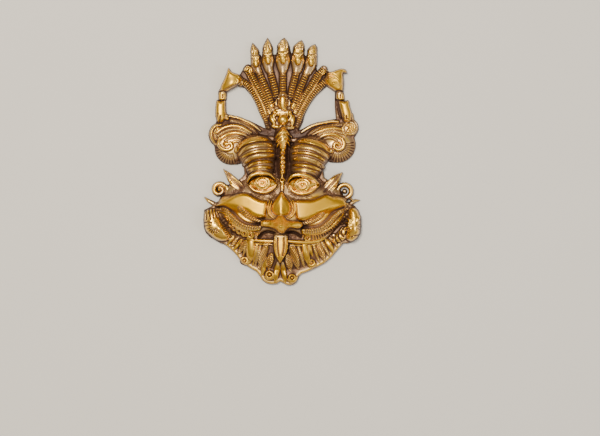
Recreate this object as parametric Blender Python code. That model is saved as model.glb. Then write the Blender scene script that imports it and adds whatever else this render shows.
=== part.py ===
"""Kirtimukha mask, one brass casting, lying on its flat back.

Five hooded snakes fan out above a seated guardian figure, two sea beasts step down on
feathered wings, and below them stands the face itself: ringed horns, round eyes, smooth
cheeks, a beaked nose, an upper lip that waves out into two small beasts, a tongue and a
beard of carved locks. The back is flat at its rim and hollow behind the face and horns.

Frame: +X is the viewer's right, +Y the top of the mask and +Z the way the face looks.
The back rim lies on Z = 0 and the origin is under the middle of the outline.

The carving is drawn on a sheet 320 units tall. One unit across the sheet follows the
mask's height, and one unit of relief follows its depth.
"""
import math

import bmesh
import bpy
from mathutils import Matrix, Vector

# Driving dimensions, in metres
MASK_HEIGHT = 0.320
MASK_DEPTH = 0.062
FAN_THICKNESS = 0.0065
WING_THICKNESS = 0.006
BEARD_THICKNESS = 0.010
TEMPLE_THICKNESS = 0.012
FACE_WALL = 0.008
HORN_WALL = 0.009
RIM_WIDTH = 0.009
GRAIN = 0.0012

# The drawing sheet and the depth of the sketched relief, in units
SHEET_HEIGHT = 320.0
SHEET_RELIEF = 62.0
UNIT = MASK_HEIGHT / SHEET_HEIGHT
RELIEF = MASK_DEPTH / SHEET_RELIEF

# How finely the surface is faceted
TRIANGLE_COUNT = 8000
SKIRT = 4.0
PATH_STEP = 3.0
SMOOTHING_ROUNDS = 2
END_ROUNDING = 0.55
POINTED_END = 1.5

BRASS_COLOUR = (0.60, 0.38, 0.09, 1.0)
BRASS_ROUGHNESS = 0.32

# Domes of the ground: place, half sizes, height and turn in degrees
FACE = (0, -62, 84, 52, 30, 0)
JAW = (0, -100, 63, 44, 22, 0)
HORNS = {
    "left": ((-33, 12, 27, 24, 31, -18), (-28, -8, 20, 20, 32, 0)),
    "right": ((35, 10, 28, 24, 31, 18), (30, -10, 22, 20, 32, 0)),
}
EYES = {"left": (-26, -28.5, 18, 12, 40, 0), "right": (27, -30.5, 19.5, 13, 40, 0)}
UPPER_LID = ((-1.08, 0.1), (-0.7, 0.85), (0, 1.12), (0.6, 0.85), (1.08, 0))
LOWER_LID = ((-1.08, 0), (-0.6, -0.75), (0, -0.98), (0.6, -0.75), (1.0, 0))
NOSE = (
    (-0.8, -57, 13.5, 18, 46, 0),
    (-1, -73, 6.5, 30, 53, 0),
    (-1.3, -84, 10, 14, 62, 0),
    (-1, -80.7, 28, 5.8, 39, 0),
)
NOSTRIL_RADII = (3.6, 4.6, 4.2)
NOSTRIL_LIFTS = (0, 4, 5)
MOUTH_PLACE = (19, -95, 27)
MOUTH_POCKET = (9.5, 5.5, 9)

# Radii along the lip rows, from their outer ends inwards, and of the lines on wings and beard, in units
LIP_BAND_RADII = (2.0, 3.0, 3.2, 3.2, 2.8)
LIP_PATCH_RADII = (2.0, 3.2, 3.2, 2.2)
LIP_TEETH_RADII = (2.6, 3.2, 3.2, 2.8)
LOWER_LIP_RADII = (1.4, 2.2, 2.4, 2.2)
TONGUE_RADII = (8, 9.4, 8.6, 1.8)
SHELL_RIB = 1.5
SHELL_RIB_LIFT = 0.3
LOCK_RING = 1.6

# The other domes of the ground
OTHER_DOMES = (
    (-14, -145.5, 15, 13, 13, 0),
    (9, -147, 12.5, 13, 13, 0),
    (-44, -58, 43, 19, 38, -8),
    (46, -59, 43, 19, 38, 8),
    (0, -18, 13, 44, 27, 0),
    (0, 58, 23, 32, 9, 0),
    (0, 24, 12, 26, 18, 0),
    (-57, 36, 34, 17, 12, -14),
    (-82, 34.5, 13.5, 15, 11, 0),
    (-67, 17, 20.5, 21, 10, 0),
    (58, 35, 34, 15, 12, 10),
    (86, 42.5, 12, 12, 11, 0),
    (72, 20, 22, 21.5, 10, 0),
    (-60, -38, 18, 12, 16, 20),
    (61, -40, 18, 11, 16, -20),
)


def domes():
    """Every dome of the ground, in drawing order."""
    horns = [dome for pair in HORNS.values() for dome in pair]
    return [FACE, JAW, *horns, *EYES.values(), *NOSE, *OTHER_DOMES]


def ground_height(x, y):
    """Height of the ground at a point of the sheet, in relief units."""
    height = 0.0
    for centre_x, centre_y, half_x, half_y, top, turn in domes():
        angle = math.radians(turn)
        along = (x - centre_x) * math.cos(angle) + (y - centre_y) * math.sin(angle)
        across = (y - centre_y) * math.cos(angle) - (x - centre_x) * math.sin(angle)
        share = 1.0 - (along / half_x) ** 2 - (across / half_y) ** 2
        if share > 0.0:
            height = max(height, top * math.sqrt(share))
    return height


def smooth_path(points, step=PATH_STEP):
    """Points about one step apart on the smooth curve through the given points."""
    first = [2 * a - b for a, b in zip(points[0], points[1])]
    last = [2 * a - b for a, b in zip(points[-1], points[-2])]
    frame = [first, *points, last]
    path = []
    for before, start, end, after in zip(frame, frame[1:], frame[2:], frame[3:]):
        pieces = max(1, round(math.dist(start[:2], end[:2]) / step))
        for i in range(pieces):
            t = i / pieces
            path.append(tuple(
                b + 0.5 * t * (c - a + t * (2 * a - 5 * b + 4 * c - d + t * (3 * (b - c) + d - a)))
                for a, b, c, d in zip(before, start, end, after)))
    path.append(tuple(points[-1]))
    return path


def spread(values, count):
    """Values at even places along a list of key values."""
    if len(values) == 1:
        return [values[0]] * count
    result = []
    for i in range(count):
        place = i / (count - 1) * (len(values) - 1)
        low = min(int(place), len(values) - 2)
        result.append(values[low] + (values[low + 1] - values[low]) * (place - low))
    return result


def between(first, second, share):
    """Point by point blend of two paths of equal length."""
    return [tuple(a + (b - a) * share for a, b in zip(p, q)) for p, q in zip(first, second)]


def arc(x, y, radius, start, end, count=9, shrink=0.0):
    """Points of an arc or, with shrink, of a scroll that winds in; angles in degrees."""
    points = []
    for i in range(count):
        angle = math.radians(start + (end - start) * i / (count - 1))
        reach = radius - shrink * i / (count - 1)
        points.append((x + reach * math.cos(angle), y + reach * math.sin(angle)))
    return points


def end_cap(inner, end):
    """A smaller ring past the end of a stout ridge, which rounds it off."""
    x, y, z, size = end
    if size < POINTED_END:
        return []
    reach = END_ROUNDING * size / math.dist(inner[:2], end[:2])
    return [(x + (x - inner[0]) * reach, y + (y - inner[1]) * reach, z, size * END_ROUNDING)]


class Carving:
    """Collects closed forms that the casting is then fused from."""

    def __init__(self):
        self.solids = bmesh.new()
        self.curve = bpy.data.curves.new("carving_ridges", "CURVE")
        self.curve.dimensions = "3D"
        self.curve.bevel_depth = UNIT
        self.curve.bevel_resolution = 2
        self.curve.use_fill_caps = True

    def dome(self, x, y, half_x, half_y, top, turn):
        """Half ellipsoid that rises from the sheet."""
        size = Matrix.Diagonal((half_x * UNIT, half_y * UNIT, top * RELIEF, 1.0))
        place = Matrix.Translation((x * UNIT, y * UNIT, 0.0)) @ Matrix.Rotation(math.radians(turn), 4, "Z")
        made = bmesh.ops.create_uvsphere(
            self.solids, u_segments=40, v_segments=20, radius=1.0, matrix=place @ size)
        for vertex in made["verts"]:
            vertex.co.z = max(vertex.co.z, -SKIRT * RELIEF)

    def plate(self, outline, thickness):
        """Flat plate cut to an outline of the sheet."""
        corners = [self.solids.verts.new((x * UNIT, y * UNIT, -SKIRT * RELIEF)) for x, y in outline]
        base = self.solids.faces.new(corners)
        raised = bmesh.ops.extrude_face_region(self.solids, geom=[base])["geom"]
        for vertex in (item for item in raised if isinstance(item, bmesh.types.BMVert)):
            vertex.co.z = thickness

    def ridge(self, points, radii, lift=0.0, free=False):
        """Round ridge along a path that follows the ground; a free one runs off the ground's edge."""
        path = smooth_path(points)
        sizes = spread(radii if isinstance(radii, tuple) else (radii,), len(path))
        lifts = spread(lift if isinstance(lift, tuple) else (lift,), len(path))
        heights = [ground_height(x, y) + rise for (x, y), rise in zip(path, lifts)]
        self.tube(path, heights, sizes)
        if free:
            self.tube(path, [height * 0.3 for height in heights], sizes)

    def tube(self, path, heights, sizes):
        """One bevelled spline of the ridge curve, with rounded ends where it is stout."""
        rings = [(x, y, z, size) for (x, y), z, size in zip(path, heights, sizes)]
        rings = [*end_cap(rings[1], rings[0]), *rings, *end_cap(rings[-2], rings[-1])]
        spline = self.curve.splines.new("POLY")
        spline.points.add(len(rings) - 1)
        for point, (x, y, z, size) in zip(spline.points, rings):
            point.co = (x * UNIT, y * UNIT, z * RELIEF, 1.0)
            point.radius = size

    def fused(self, name):
        """One object with all the forms, still overlapping, in its mesh."""
        ridges = bpy.data.objects.new("carving_ridges", self.curve)
        bpy.context.collection.objects.link(ridges)
        bpy.context.view_layer.update()
        tubes = ridges.evaluated_get(bpy.context.evaluated_depsgraph_get()).to_mesh()
        self.solids.from_mesh(tubes)
        bpy.data.objects.remove(ridges)
        bmesh.ops.recalc_face_normals(self.solids, faces=self.solids.faces)
        mesh = bpy.data.meshes.new(name)
        self.solids.to_mesh(mesh)
        self.solids.free()
        casting = bpy.data.objects.new(name, mesh)
        bpy.context.collection.objects.link(casting)
        return casting


def carve_plates(carving):
    """Thin webs between the snakes, under the wings, at the temples and behind the beard."""
    carving.plate([
        (-18, 38), (-24, 50), (-28, 62), (-33, 73), (-40, 85), (-49, 95), (-58, 98), (-56, 111),
        (-48.5, 123.5), (-41, 125.5), (-40, 134), (-31, 138), (-12, 139), (9.5, 142), (33, 137),
        (43.5, 136), (45, 117), (53, 122), (61, 112), (61, 101), (52, 92.5), (43, 84.5), (35, 73),
        (29.5, 62), (26, 50), (20, 38)], FAN_THICKNESS)
    carving.plate([
        (-16, 40), (-33, 48.5), (-52, 56.5), (-72, 62), (-84, 58), (-92, 45.5), (-95.5, 37),
        (-94, 28), (-86.5, 15), (-79.5, 2), (-65, -3.8), (-50, -1), (2, 0), (2, 40)], WING_THICKNESS)
    carving.plate([
        (16, 38), (36, 48), (55, 52.5), (74, 56), (86, 56.5), (97.5, 48), (98.5, 42), (93, 31),
        (94.5, 18), (86, 4), (70, -1.6), (56, 1), (-2, 0), (-2, 40)], WING_THICKNESS)
    carving.plate([
        (-50, -8), (-49, -16), (-60, -25), (-76, -48), (-60, -60), (60, -60), (78, -50), (60, -24),
        (53, -16), (54, -6), (40, 0), (-40, 0)], TEMPLE_THICKNESS)
    carving.plate([
        (-80, -104), (-66, -114), (-55, -127), (-42, -137.5), (-30, -147), (-20, -157), (-14, -158.8),
        (-3, -155), (9, -160), (18, -154.5), (25, -145), (38, -140), (55, -131), (68, -118), (80, -104),
        (60, -94), (-60, -94)], BEARD_THICKNESS)


def carve_snakes(carving):
    """Five hooded snakes, each a neck, a face and a pointed crown."""
    snakes = (
        ((-38.5, 153), (-35, 139), 5.0, (-34, 131),
         [(-33, 121), (-27.5, 109), (-21.5, 95), (-16, 81), (-12, 67)]),
        ((-19, 160), (-19, 142), 6.2, (-18.5, 135), [(-17.5, 121), (-13.5, 108), (-10, 95), (-7.5, 83)]),
        ((2.5, 160), (1, 144), 8.2, (0.8, 136), [(0.7, 121), (0.8, 106), (0.6, 92), (0, 80)]),
        ((25, 157), (20.5, 142), 7.2, (20, 134.5), [(19, 120), (16.5, 109), (13, 96), (9.5, 83)]),
        ((42.5, 151), (38.5, 141), 6.0, (37, 132.5),
         [(33.5, 118), (28, 106), (22.5, 93), (17.5, 80), (13, 67)]),
    )
    for tip, crown, crown_size, face, neck in snakes:
        face_size = 2.2 + 0.5 * crown_size
        carving.ridge([face, crown, tip], (crown_size * 0.8, crown_size, crown_size * 0.55, 1.1), 8)
        carving.ridge([(face[0], face[1] - 7), *neck], (4.4, 4.5, 4.4, 3.6), 9)
        carving.ridge([face, (face[0], face[1] - 8)], (face_size, face_size * 0.72), (14, 13))


def carve_bands(carving):
    """Two scaled bands on either side of the snakes."""
    inner = [(-44.5, 121), (-40, 111), (-33, 98), (-26, 85), (-20, 72), (-16.5, 60)]
    outer = [(-54, 106), (-46, 100), (-38.5, 90), (-31.5, 77), (-26.5, 64), (-22, 54), (-19, 44)]
    for side, slant in ((1, 1.0), (-1, 1.06)):
        inner_path = [(side * x * slant, y) for x, y in inner]
        outer_path = [(side * x * slant, y + 3 * (slant - 1)) for x, y in outer]
        carving.ridge(inner_path, (5.0, 4.8, 4.4, 4.0, 3.0), 7.5)
        carving.ridge(outer_path, (4.2, 4.2, 4.0, 3.6, 3.0), 7.5)


def carve_sea_beasts(carving):
    """A beast's head and one stepping leg at each side of the fan."""
    carving.ridge([(-69, 121), (-67.5, 112), (-66, 104)], (1.0, 5.0, 8.5), 7, True)
    carving.ridge([(-77, 92), (-70, 98), (-62, 102), (-55, 102)], (4.5, 7.5, 9, 6), 7, True)
    carving.ridge([(-77, 89), (-77.5, 82)], 5.6, 6, True)
    carving.ridge([(-79, 79.5), (-79.5, 68), (-79.5, 58), (-79.5, 51)], (6.4, 7.3, 7, 4), 6, True)
    carving.ridge([(70, 111), (75, 118), (81, 118.5), (84, 114.5)], (6, 4, 2.6, 2), 7, True)
    carving.ridge([(59, 106), (66, 104.5), (71, 99), (73.5, 93)], (6.5, 9.5, 8, 4.5), 7, True)
    carving.ridge([(73.5, 90), (75, 82.5)], (5.2, 5.6), 6, True)
    carving.ridge([(79.5, 78.5), (81, 68), (83, 58), (83, 52)], (6.2, 7, 7.6, 4), 6, True)
    carving.ridge([(69.5, 92), (69.5, 74), (71, 62), (73, 52)], (2.6, 2.4, 3.0, 4), 3, True)


def carve_wings(carving):
    """Feathered wings: waves that run from the horns into a scroll, above a ribbed shell."""
    left_edge = [(-67, 57), (-52, 54), (-39, 47), (-28, 39)]
    left_low = [(-78, 30), (-63, 36.5), (-51, 35), (-44, 31.5)]
    right_edge = [(72, 50.5), (55, 49.5), (42, 46.5), (27, 38)]
    right_low = [(76.5, 29.5), (63, 34.5), (52, 33), (45, 29.5)]
    for edge, low in ((left_edge, left_low), (right_edge, right_low)):
        for share in (0.0, 0.5, 1.0):
            carving.ridge(between(edge, low, share), 2.1, 0.6)
    carving.ridge(arc(-73, 22, 8.5, 130, 400, 9, 5.0), 2.0, 0.6)
    carving.ridge(arc(72, 22, 8.0, 60, -200, 9, 4.5), 2.0, 0.6)
    carving.ridge(arc(-80, 34, 12.0, 85, 230), 2.0, 0.6)
    carving.ridge(arc(87, 44, 9.5, -115, 140), 2.0, 0.6)
    for centre, start, end, reach in (((-67, 17), 192, 284, 19.5), ((72, 20), -104, 6, 20.5)):
        for i in range(7):
            angle = math.radians(start + (end - start) * i / 6)
            ray = [(centre[0] + r * math.cos(angle), centre[1] + r * math.sin(angle)) for r in (11, reach)]
            carving.ridge(ray, SHELL_RIB, SHELL_RIB_LIFT)


def carve_horns(carving):
    """Two stout horns, each wrapped in rings that step down to the brow."""
    rings = (
        ([(-8.5, 29), (-25, 28), (-40, 24.3), (-51, 18.8), (-59.5, 11.5)],
         [(-8, -7), (-19, -6), (-29, -7.8), (-38, -11), (-44.5, -15)]),
        ([(13.5, 27.5), (28, 27), (42, 24.7), (53, 20.3), (62.5, 14)],
         [(9, -11), (21, -8), (32, -9), (41, -12.5), (49.5, -17.5)]),
    )
    for top, low in rings:
        for share, size in ((0.0, 3.4), (0.2, 3.0), (0.43, 2.2), (0.63, 3.2), (0.82, 2.2), (1.0, 2.2)):
            carving.ridge(between(top, low, share), (size * 0.8, size, size, size * 0.8), 0.6)


def carve_column(carving):
    """The stem between the horns, with its chevrons, and the drop on the brow."""
    carving.ridge([(1.5, 38), (1, 20), (1.2, 0), (1, -14)], (7, 5.5, 4.4, 3.6), 1.5)
    for i in range(3):
        y = 38.5 - 6 * i
        carving.ridge([(-8.5 + i, y - 8), (2, y), (11.5 - i, y - 7)], 1.9, 5.0 - i)
    carving.ridge([(0, -23), (0, -25)], 3.0, 4)
    carving.ridge([(0, -28), (0, -41)], (2.2, 1.6), 4)


def carve_eyes(carving):
    """Lids and pupils of the two round eyes."""
    for side, (x, y, half_x, half_y, _top, _turn) in EYES.items():
        reach = -1 if side == "left" else 1
        upper = [(x + reach * half_x * s, y + half_y * t) for s, t in UPPER_LID]
        lower = [(x + reach * half_x * s, y + half_y * t) for s, t in LOWER_LID]
        carving.ridge(upper, (1.4, 2.7, 3.0, 2.7, 1.4), 1.5)
        carving.ridge(lower, (1.4, 2.0, 2.0, 2.0, 1.4), 1.5)
        carving.ridge([(x - 1.2, y), (x + 1.2, y)], 3.4, 1.5)


def carve_nose(carving):
    """Crease lines that frame the round nose, and the flared nostrils, rooted in its tip."""
    for side in (-1, 1):
        carving.ridge([(side * 15 - 1, -54), (side * 14.5 - 1, -63), (side * 10 - 1, -70)], 1.9, 1.5)
        nostril = [(side * 7 - 1, -82), (side * 16 - 1, -81), (side * 26 - 1, -80)]
        carving.ridge(nostril, NOSTRIL_RADII, NOSTRIL_LIFTS)


def carve_mouth(carving):
    """Upper lip in waves to both sides, the lower lip and the tongue between them."""
    lips = (
        ([(-83, -59), (-71.5, -61.3), (-64, -67.5), (-57, -75), (-49, -80.7), (-39, -83.8), (-28, -83.8)],
         [(-53, -59), (-49.5, -66.5), (-42.5, -72.5), (-29.5, -76.5)],
         [(-66, -82), (-56, -88), (-46, -91.5), (-38, -93)],
         [(-48, -99), (-34, -102.5), (-22, -103.6), (-11, -105)]),
        ([(85, -59.5), (74, -62), (66, -67.5), (59.5, -76), (52, -83.3), (42, -87.8), (28, -88.3)],
         [(53.5, -68), (47.5, -73.5), (39, -77), (27.5, -79)],
         [(76, -69), (69, -79), (62, -87.5), (52.5, -95), (41.5, -98.8), (30, -98)],
         [(60, -95), (50, -101), (40, -105.2), (28, -106.3), (9, -105.5)]),
    )
    for band, patch, teeth, lower in lips:
        carving.ridge(band, LIP_BAND_RADII, 1.2)
        carving.ridge(patch, LIP_PATCH_RADII, 0.8)
        carving.ridge(teeth, LIP_TEETH_RADII, 1.0)
        carving.ridge(lower, LOWER_LIP_RADII, 2.0)
    carving.ridge([(-1.8, -95), (-2, -108), (-2.4, -119), (-3, -128)], TONGUE_RADII, 5)


def carve_beard(carving):
    """Locks that hang side by side from the lower lip, with curled ends here and there."""
    locks = (
        ((-5, -129), (-9, -154), 3.4), ((-14.5, -121), (-17, -141), 4.2), ((-20.5, -109), (-30, -139), 3.6),
        ((-30.5, -108), (-37, -133), 2.4), ((-41, -104), (-41.5, -131), 4.8), ((-47, -102), (-57.5, -119), 3.8),
        ((-52.5, -98), (-64.5, -114), 2.8), ((-60, -95), (-70, -108.5), 2.8),
        ((1, -129), (5.5, -154), 3.2), ((7.5, -122), (11.5, -144), 3.8), ((13.5, -109), (21.5, -139), 4.4),
        ((21.5, -109), (29, -136), 2.4), ((29.5, -107), (36, -135), 4.2), ((41, -108), (47, -127), 2.2),
        ((46.5, -106), (54, -127), 4.8), ((52, -104), (61.5, -121), 2.4), ((58, -101), (66, -118), 3.8),
        ((63, -98), (72, -109), 3.0),
    )
    for root, foot, size in locks:
        middle = ((root[0] * 0.58 + foot[0] * 0.42), (root[1] + foot[1]) / 2)
        carving.ridge([root, middle, foot], (size * 0.85, size, size * 0.9), (0.5, 1.0, 9.0))
    for x, y, size in ((-16.5, -146, 5.0), (-48.5, -127.5, 4.6), (12.5, -150, 4.8), (37.8, -131, 4.4)):
        carving.ridge(arc(x, y, size, 0, 360, 13), LOCK_RING, 3.0)


def carve_end_beasts(carving):
    """The small beasts that the lip ends in, with their tufted manes."""
    carving.plate([
        (-88, -56), (-101, -62.5), (-102, -75), (-101.5, -85), (-99, -92), (-94, -97), (-86, -102),
        (-79, -106), (-60, -104), (-60, -70), (-76, -57)], BEARD_THICKNESS)
    carving.plate([
        (84, -56), (93.5, -57), (98.5, -63), (101.8, -72), (102, -85), (101, -93), (97, -100),
        (91, -104), (78, -106), (60, -104), (60, -70), (76, -57)], BEARD_THICKNESS)
    carving.ridge([(-92, -72), (-90, -84), (-82, -92), (-72, -98)], (8, 10, 9.5, 6.5), (8, 9, 7, 3))
    carving.ridge([(92, -74), (93, -85), (90, -95)], (7.5, 8.5, 7.5), (9, 11, 10))
    carving.ridge([(88, -92), (80, -97), (70, -99)], (6.5, 5.5, 4), (9, 5, 2))
    tufts = ((-98, 0, 2.4), (-93.5, 1, 2.4), (-88.5, 1, 2.4), (-83, 3, 2.4), (91, 0, 2.8), (98.5, -3, 2.8))
    for x, lean, size in tufts:
        carving.ridge([(x, -64), (x + lean, -76)], size, 10)


def carve_curls(carving):
    """Scrolls and thorns at the corners of the mouth, and the ears above them."""
    carving.ridge([(-86, -56.5), (-78, -51.5), (-72.5, -45), (-70.5, -36)], (2.2, 2.6, 2.8, 2.6), 6, True)
    carving.ridge(arc(-81.3, -36.5, 9.2, 20, 480, 16, 6.0), (2.8, 2.8, 2.4, 2.4), 7, True)
    carving.ridge([(87, -58), (79, -52.5), (74, -46), (71.5, -38)], (2.2, 2.4, 2.6, 2.6), 6, True)
    carving.ridge(arc(80, -38.7, 8.8, 190, -180, 13), 2.6, 7, True)
    for side, tip in ((-1, (-99.5, -46.5)), (1, (98, -50))):
        carving.ridge([(side * 86, -55), (side * 92, -51.5), tip], (3.6, 2.8, 0.8), 5, True)
    carving.ridge([(-49, -39), (-59, -29), (-68, -19), (-75, -10.5)], (3, 6.0, 4.6, 0.8), (6, 6, 8, 9), True)
    carving.ridge([(44, -48), (56, -36), (66, -25), (76.5, -15)], (2, 5.6, 6.0, 1.0), (6, 6, 8, 9), True)


def carve_guardian(carving):
    """Small crowned figure with an elephant's head, seated where the snakes meet."""
    carving.ridge([(-10, 43.5), (0, 45.5), (11, 43)], (3.6, 4, 3.6), 3)
    carving.ridge([(0, 50), (0, 60)], (8.5, 7.5), 5)
    carving.ridge([(0.5, 76), (0.5, 84), (0.5, 91)], (6.0, 5.0, 1.8), 9)
    carving.ridge([(0.2, 77), (0, 70), (1, 66), (3.6, 66.5)], (2.8, 2.4, 2.2, 1.8), 14)
    for side in (-1, 1):
        carving.ridge([(side * 7.5, 79), (side * 8.2, 73)], (2.6, 2.2), 8)
        arm = [(side * 7, 64), (side * 11.5, 62), (side * 12.5, 56), (side * 11, 50)]
        carving.ridge(arm, (3, 3, 2.6, 2.2), 6)
        carving.ridge([(side * 10, 65), (side * 15.5, 66), (side * 14.5, 73)], (2.4, 2.4, 3.2), 5)
        carving.ridge([(side * 13, 52), (side * 12, 46), (side * 5, 42.5)], (2.6, 3.0, 2.4), 4)


def cutter(name, mesh_maker):
    """Object that only cuts others and is never part of the mask."""
    shape = bmesh.new()
    mesh_maker(shape)
    mesh = bpy.data.meshes.new(name)
    shape.to_mesh(mesh)
    shape.free()
    tool = bpy.data.objects.new(name, mesh)
    bpy.context.collection.objects.link(tool)
    tool.hide_render = True
    tool.display_type = "WIRE"
    return tool


def back_block(shape):
    """Everything behind the plane that the mask rests on."""
    reach = 2 * MASK_HEIGHT
    place = Matrix.Translation((0.0, 0.0, -reach / 2))
    bmesh.ops.create_cube(shape, size=reach, matrix=place)


def hollow_maker(dome, wall):
    """Makes the hollow behind a dome, one wall lower than its top."""
    def make(shape):
        x, y, half_x, half_y, top, _turn = dome
        half_sizes = (half_x * UNIT - RIM_WIDTH, half_y * UNIT - RIM_WIDTH, top * RELIEF - wall)
        place = Matrix.Translation((x * UNIT, y * UNIT, 0.0)) @ Matrix.Diagonal((*half_sizes, 1.0))
        bmesh.ops.create_uvsphere(shape, u_segments=28, v_segments=12, radius=1.0, matrix=place)
    return make


def mouth_maker(side):
    """Makes the dark pocket beside the tongue on one side."""
    def make(shape):
        half_sizes = (MOUTH_POCKET[0] * UNIT, MOUTH_POCKET[1] * UNIT, MOUTH_POCKET[2] * RELIEF)
        place = (side * MOUTH_PLACE[0] * UNIT, MOUTH_PLACE[1] * UNIT, MOUTH_PLACE[2] * RELIEF)
        matrix = Matrix.Translation(place) @ Matrix.Diagonal((*half_sizes, 1.0))
        bmesh.ops.create_uvsphere(shape, u_segments=16, v_segments=8, radius=1.0, matrix=matrix)
    return make


def cut(casting, tool):
    """Takes a cutter's shape out of the casting."""
    boolean = casting.modifiers.new(tool.name, "BOOLEAN")
    boolean.operation = "DIFFERENCE"
    boolean.solver = "EXACT"
    boolean.object = tool


def face_count(casting):
    """Number of triangles of the casting as its modifiers now leave it."""
    bpy.context.view_layer.update()
    evaluated = casting.evaluated_get(bpy.context.evaluated_depsgraph_get())
    mesh = evaluated.to_mesh()
    mesh.calc_loop_triangles()
    count = len(mesh.loop_triangles)
    evaluated.to_mesh_clear()
    return count


def fuse(casting):
    """Melts the overlapping forms into one skin and thins it to the wanted number of facets."""
    remesh = casting.modifiers.new("one_skin", "REMESH")
    remesh.mode = "VOXEL"
    remesh.voxel_size = GRAIN
    smooth = casting.modifiers.new("cast_softness", "SMOOTH")
    smooth.factor = 0.5
    smooth.iterations = round(SMOOTHING_ROUNDS)
    thin = casting.modifiers.new("facets", "DECIMATE")
    thin.ratio = 1.0
    thin.ratio = min(1.0, TRIANGLE_COUNT / face_count(casting))


def centre(objects, casting):
    """Moves the meshes so that the outline's middle is over the origin."""
    bpy.context.view_layer.update()
    evaluated = casting.evaluated_get(bpy.context.evaluated_depsgraph_get())
    corners = [Vector(corner) for corner in evaluated.bound_box]
    middle = [(min(c[i] for c in corners) + max(c[i] for c in corners)) / 2 for i in (0, 1)]
    for item in objects:
        item.data.transform(Matrix.Translation((-middle[0], -middle[1], 0.0)))


def brass():
    """Cast brass with a brown patina in its recesses."""
    material = bpy.data.materials.new("patinated_brass")
    material.use_nodes = True
    shader = material.node_tree.nodes["Principled BSDF"]
    shader.inputs["Base Color"].default_value = BRASS_COLOUR
    shader.inputs["Metallic"].default_value = 1.0
    shader.inputs["Roughness"].default_value = BRASS_ROUGHNESS
    return material


def make_mask():
    """The whole casting, hollowed from behind."""
    carving = Carving()
    for dome in domes():
        carving.dome(*dome)
    for carve in (carve_plates, carve_snakes, carve_bands, carve_sea_beasts, carve_wings, carve_horns,
                  carve_column, carve_eyes, carve_nose, carve_mouth, carve_beard, carve_end_beasts,
                  carve_curls, carve_guardian):
        carve(carving)
    casting = carving.fused("kirtimukha_mask")
    casting.data.materials.append(brass())
    fuse(casting)
    tools = [cutter("behind_the_rim", back_block)]
    tools.append(cutter("face_hollow", hollow_maker(FACE, FACE_WALL)))
    tools.append(cutter("jaw_hollow", hollow_maker(JAW, FACE_WALL)))
    for side, (horn, _brow) in HORNS.items():
        tools.append(cutter(f"{side}_horn_hollow", hollow_maker(horn, HORN_WALL)))
    for name, side in (("left_mouth_pocket", -1), ("right_mouth_pocket", 1)):
        tools.append(cutter(name, mouth_maker(side)))
    for tool in tools:
        cut(casting, tool)
    centre([casting, *tools], casting)
    return casting


for leftover in list(bpy.data.objects):
    bpy.data.objects.remove(leftover)
make_mask()
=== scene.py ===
"""Looks of the kirtimukha mask: one brass casting, polished on its high points, brown in its recesses.

The casting is carved as a relief on a sheet of millimetres, 320 units tall, the way a wax model
is built up before casting. Every part of the face is a class that carves its own forms into the
sheet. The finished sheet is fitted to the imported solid's box and cut into closed pieces of metal.

Frame: +X is the viewer's right, +Y the top of the mask, +Z the way the face looks.
"""
import logging
import math
from collections.abc import Callable, Sequence
from dataclasses import dataclass, field
from enum import Enum
from typing import Protocol

import bpy
import numpy as np
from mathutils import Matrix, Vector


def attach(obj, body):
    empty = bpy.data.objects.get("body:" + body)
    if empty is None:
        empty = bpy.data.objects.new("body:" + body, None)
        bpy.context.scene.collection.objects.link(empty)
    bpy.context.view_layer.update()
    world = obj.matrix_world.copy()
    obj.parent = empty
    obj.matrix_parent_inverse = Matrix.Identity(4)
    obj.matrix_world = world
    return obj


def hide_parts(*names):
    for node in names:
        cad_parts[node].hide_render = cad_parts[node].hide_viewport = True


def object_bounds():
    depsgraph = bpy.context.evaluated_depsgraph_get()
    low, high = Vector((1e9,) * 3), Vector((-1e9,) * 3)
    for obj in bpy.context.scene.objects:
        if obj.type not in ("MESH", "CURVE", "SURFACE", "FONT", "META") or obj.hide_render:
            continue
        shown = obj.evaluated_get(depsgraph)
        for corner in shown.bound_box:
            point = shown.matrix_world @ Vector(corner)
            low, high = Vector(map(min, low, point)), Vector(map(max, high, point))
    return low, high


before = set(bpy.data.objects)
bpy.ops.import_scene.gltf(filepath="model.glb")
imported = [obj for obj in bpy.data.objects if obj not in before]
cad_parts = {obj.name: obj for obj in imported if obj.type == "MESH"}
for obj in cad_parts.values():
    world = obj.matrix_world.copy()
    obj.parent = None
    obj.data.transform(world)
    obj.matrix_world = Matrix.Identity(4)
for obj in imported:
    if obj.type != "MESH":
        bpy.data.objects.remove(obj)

CAD_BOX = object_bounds()
NODE = "kirtimukha_mask"
BODY = "root"

SHEET_FLOOR = -2.0
UNDER_ALL = -9.0
UNREACHED = 1e9

Array = np.ndarray
Point = tuple[float, float]
Path = Sequence[Point]
Oval = tuple[float, float, float, float, float]
Window = tuple[slice, slice]
Reader = Callable[[Sequence[Array]], list[Array]]
LOG = logging.getLogger("kirtimukha")


class Cut(Enum):
    """How a raised bar is worked along its length."""

    PLAIN = "plain"
    RIBBED = "ribbed"
    HATCHED = "hatched"
    BEADED = "beaded"


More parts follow.
